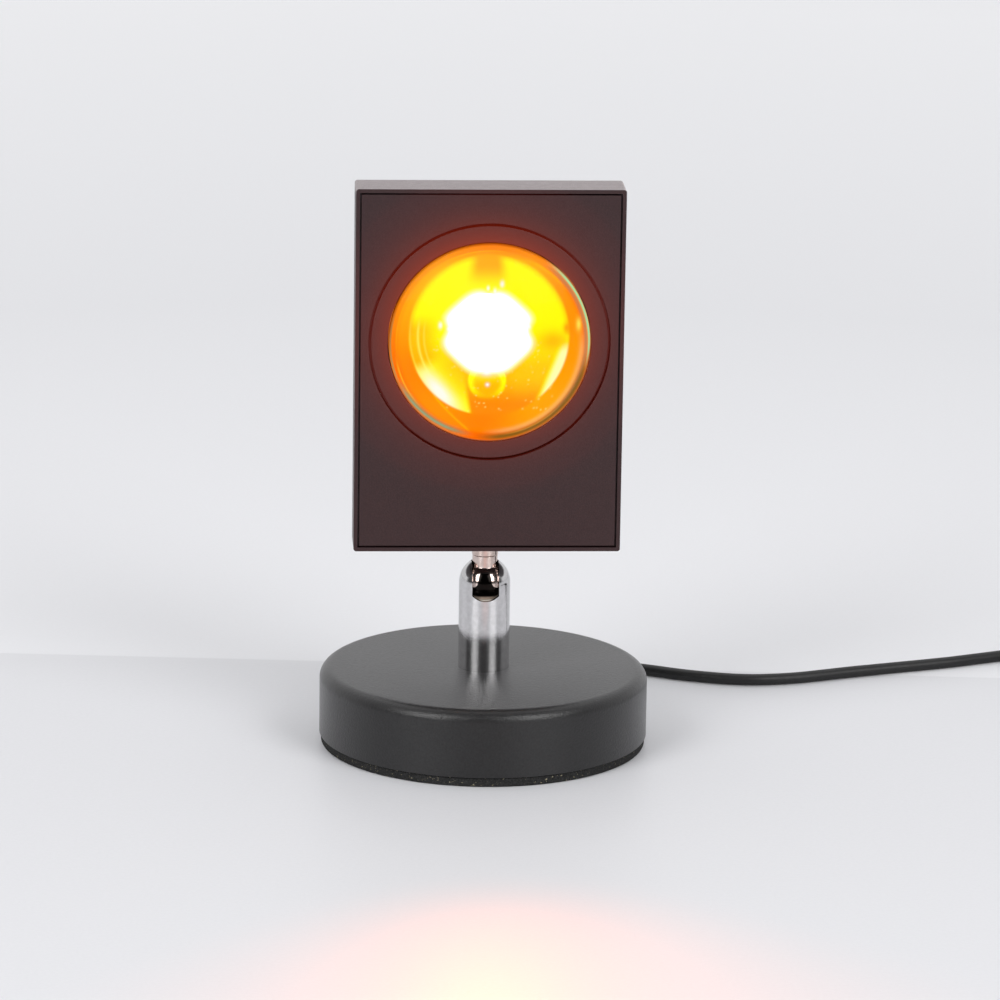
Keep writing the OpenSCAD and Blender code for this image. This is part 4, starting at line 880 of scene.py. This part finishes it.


# Source finish: pale face that gives off white light in front of a given depth; on the LED it is the lamp's
# own light, on the board it is painted light
def sourceFinish(name, s):
    tree, shader = newFinish(name, {"Emission Color": s["tint"]})
    start, end = (s["litTo"] - s["soft"]) * mm, s["litTo"] * mm
    light = spread(tree, ownPlace(tree, "Y"), start, end, s["light"], 0)
    setInputs(tree, shader, {
        "Base Color": toned(tree, grain(tree, s["grain"]), s["tones"]),
        "Roughness": glossed(tree, s["glossGrain"], s["gloss"]),
        "Emission Strength": light})


glassSet = {"smear": 600, "span": (0.35, 0.65), "gloss": (0.0, 0.03),
            "even": {"Transmission Weight": 1.0, "IOR": 1.46, "Specular Tint": (0.03, 0.02, 0.02, 1),
                     "Emission Strength": 1.0}}


# Glass: clear warm dome, with the coloured sheen of its coating along the rim painted on as light the glass
# gives off
def glassFinish(s):
    tree, shader = newFinish("lens_glass", s["even"])
    setInputs(tree, shader, {
        "Base Color": ownColour(tree, "rimTint"),
        "Emission Color": ownColour(tree, "rimPaintedSheen"),
        "Roughness": glossed(tree, s["smear"], s["gloss"], span=s["span"])})


# Rim of the lens by the angle round it and the distance from its middle, given at either end of each band:
# the coating holds the orange back there, and painted reflections of the coating, given off as light, show
# mint on the right, teal low on the left, salmon low on the right, olive at the bottom and a brown line along
# the edge.
# Each row: start and end in degrees, reach at either end, width, fade in degrees, share of the light held
# back, and its own painted light
rimBands = [
    (-18, 58, (28.25, 28.35), 0.34, 18, 0.9, (0.24, 0.80, 0.40)),
    (-60, 62, (27.2, 27.5), 0.55, 20, 0.6, (0.20, 0.13, 0.07)),
    (158, 212, (28.3, 28.3), 0.26, 16, 0.8, (0.24, 0.26, 0.08)),
    (186, 228, (26.9, 27.0), 0.2, 14, 0.0, (0.1, 0.34, 0.02)),
    (200, 262, (28.0, 27.0), 0.85, 16, 0.85, (0.24, 0.22, 0.09)),
    (204, 256, (28.1, 27.0), 0.32, 16, 0.6, (0.10, 0.30, 0.20)),
    (264, 372, (25.6, 26.2), 0.75, 18, 0.05, (0.0, 0.13, 0.09)),
    (258, 358, (27.3, 28.0), 1.0, 20, 0.95, (0.2, 0.1, 0.012)),
    (276, 322, (26.9, 27.2), 0.14, 14, 0.0, (0.16, 0.12, 0.02)),
    (190, 372, (28.6, 28.6), 0.2, 26, 0.9, (0.40, 0.10, 0.03)),
    (40, 200, (28.7, 28.7), 0.5, 30, 0.75, (0.22, 0.03, 0.0)),
]
frontDeep = 2  # only what lies in front of this depth, in mm, has the coating


# Each band's mask is a bell across it and a soft window along it; the light that the band holds back
# is taken from the painted sheen and the tint before it, and its own painted light is added to the painted
# sheen
def rimLook(points, s):
    x, depth, z = fromLens(points, s)
    away, angle = np.hypot(x, z), np.degrees(np.arctan2(z, x))
    sheen, tint = np.zeros((len(x), 4)), np.ones((len(x), 4))
    for start, end, reach, width, fade, hold, light in rimBands:
        run, length = (angle - start) % 360, end - start
        mask = bell(away, np.interp(run, [0, length], reach), width) * (depth < frontDeep)
        mask = (mask * window(run, 0, fade, length - fade, length))[:, None]
        sheen[:, :3] = sheen[:, :3] * (1 - hold * mask) + mask * np.array(light)
        tint[:, :3] *= 1 - hold * mask
    return sheen, tint ** 2  # the shader takes the root of it where light enters


rimPaintedLight, rimTint = rimLook(meshPoints(lensGlass), lensSet)
addColour(lensGlass, "rimPaintedSheen", rimPaintedLight)
addColour(lensGlass, "rimTint", rimTint)
glassFinish(glassSet)
litFinish(bowlSet)
for name, row in sourceFinishes.items():
    sourceFinish(name, dict(sourceSet, **row))
lensGlass.data.materials.append(finishes["lens_glass"])
glowBowl.data.materials.append(finishes["reflector_silver"])
for cord in (cordMain, cordEnd):
    cord.data.materials.append(finishes["cord_rubber"])
print("lens and bowl turned")


# Rounded copy of a solid: its loose triangles are merged, flat faces joined, creases marked,
# and each sharp edge gets a small round
def roundedCopy(node, name, body, slot, width, finish=None, segments=2, limit=35, flatLimit=0.3):
    mesh = nodes[node].data.copy()
    mesh.name = name
    work = bmesh.new()
    work.from_mesh(mesh)
    bmesh.ops.remove_doubles(work, verts=work.verts, dist=10 * mergeGap)
    bmesh.ops.dissolve_limit(work, angle_limit=math.radians(flatLimit), verts=work.verts, edges=work.edges)
    work.to_mesh(mesh)
    work.free()
    if "custom_normal" in mesh.attributes:
        mesh.attributes.remove(mesh.attributes["custom_normal"])
    mesh.shade_smooth()
    mesh.set_sharp_from_angle(angle=math.radians(limit))
    mesh.materials.clear()
    mesh.materials.append(finishes[finish or slot])
    piece = linkNew(name, mesh)
    edge = piece.modifiers.new("edgeRound", "BEVEL")
    edge.width = width * mm
    edge.segments = segments
    edge.limit_method = "ANGLE"
    edge.angle_limit = math.radians(limit)
    edge.harden_normals = True
    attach(piece, body)
    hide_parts(node)
    return piece


# Solid, its copy's name, body, slot, the round's width in mm, and the finish where it isn't the slot's own
roundedSet = [
    ("head_frame", "headCase", "head", "case_plastic", 0.35, "case_rim"),
    ("front_panel", "frontPanel", "head", "case_plastic", 0.08, "case_front"),
    ("lens_bezel", "lensRing", "head", "case_plastic", 0.08, "case_front"),
    ("rear_cover", "rearShell", "head", "case_plastic", 0.3),
    ("base_cover", "baseShell", "stand", "base_paint", 0.4),
    ("swivel_barrel", "swivelBarrel", "stand", "barrel_chrome", 0.15),
    ("swivel_neck", "ballNeck", "neck", "neck_nickel", 0.15),
    ("neck_collar", "neckCollar", "neck", "neck_nickel", 0.2),
    ("foot_pad", "foamPad", "stand", "pad_foam", 0.5),
    ("cord_bushing", "cordBushing", "stand", "cord_rubber", 0.12),
    ("switch_bottom", "switchLower", "stand", "switch_plastic", 0.3),
    ("switch_top", "switchUpper", "stand", "switch_plastic", 0.3),
    ("switch_boots", "switchBoots", "stand", "cord_rubber", 0.1),
    ("switch_button", "pushButton", "button", "button_plastic", 0.35),
    ("usb_overmould", "plugGrip", "stand", "switch_plastic", 0.4),
    ("usb_shell", "plugShell", "stand", "shell_steel", 0.1),
    ("cover_screws", "caseScrews", "head", "zinc_steel", 0.12),
]
rounded = {row[0]: roundedCopy(*row) for row in roundedSet}
print("edges rounded:", len(rounded))

# Tie round the coil: a woven band drawn tight over the strands, its free end lapped over the top
tieBand = {"centre": [204, 64.5], "turn": -25, "far": 31.729, "thick": 0.8, "wide": 5, "reach": 2.15,
           "lapFrom": 0.05, "lapTo": 0.3, "lapEnd": 0.01, "lapRise": 0.7, "flatPower": 0.25,
           "thickPower": 0.4, "around": 240, "across": 28, "headings": 1920}


# Sine or cosine pressed towards its ends by a power below one, which squares off a round section
def pressed(wave, power):
    return np.sign(wave) * np.abs(wave) ** power


# Band: for every heading round the section, the path lies one reach out from the strand that stands furthest
# that way; a flat section with soft edges is swept the whole way round it, and rises where the end laps over
def tieAround(s, route):
    turn = math.radians(s["turn"])
    along = np.array([math.cos(turn), math.sin(turn), 0])
    level = np.array([-math.sin(turn), math.cos(turn), 0])
    away = route / mm - [*s["centre"], 0]
    out, side = away @ along, away @ level
    held = (np.abs(side) < s["wide"] / 2) & (out > 0) & (out < s["far"])
    strands = np.stack([out, away[:, 2]], 1)[held]
    t = np.linspace(0, 2 * np.pi, s["headings"], endpoint=False)
    facing = np.stack([np.cos(t), np.sin(t)], 1)
    loop = strands[np.argmax(facing @ strands.T, 1)] + s["reach"] * facing
    run = np.r_[0, np.cumsum(np.linalg.norm(np.diff(np.vstack([loop, loop[:1]]), axis=0), axis=1))]
    even = np.linspace(0, run[-1], s["around"], endpoint=False)
    loop, facing = (np.stack([np.interp(even, run, np.r_[v[:, k], v[0, k]]) for k in (0, 1)], 1)
                    for v in (loop, facing))
    facing /= np.linalg.norm(facing, axis=1, keepdims=True)
    start, end = s["lapFrom"], s["lapTo"]
    lap = window(even / run[-1], start - s["lapEnd"], start, end, end + s["lapEnd"]) * s["lapRise"]
    v = np.linspace(0, 2 * np.pi, s["across"], endpoint=False)
    flat = pressed(np.cos(v), s["flatPower"]) * s["wide"] / 2
    thick = pressed(np.sin(v), s["thickPower"]) * s["thick"] / 2
    rise = thick[None, :] + lap[:, None] * (thick > 0)[None, :]
    place = loop[:, None] + facing[:, None] * rise[..., None]
    sheet = place[..., :1] * along + flat[None, :, None] * level + place[..., 1:] * [0, 0, 1]
    grid = sheet + [*s["centre"], 0]
    return addSurface("coilTie", grid * mm, closeRows=True, closeColumns=True, crease=50)


coilTie = tieAround(tieBand, mainRoute)
coilTie.data.materials.append(finishes["tie_fabric"])
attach(coilTie, "stand")
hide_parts("cord_tie")
print("coil tied")

# Solids that stay as they are, each in its slot's finish, or with the board's painted light, or anodised with
# the cup's painted glow
ownFinish = {"led_board": "board_lit", "lamp_cup": "cup_anodised_painted_glow"}
slotOf = {row["node"]: row["material_slot"] for row in frame["record"]["subparts"]}
for name, obj in nodes.items():
    obj.data.materials.clear()
    obj.data.materials.append(finishes[ownFinish.get(name, slotOf[name])])
print("solids dressed")
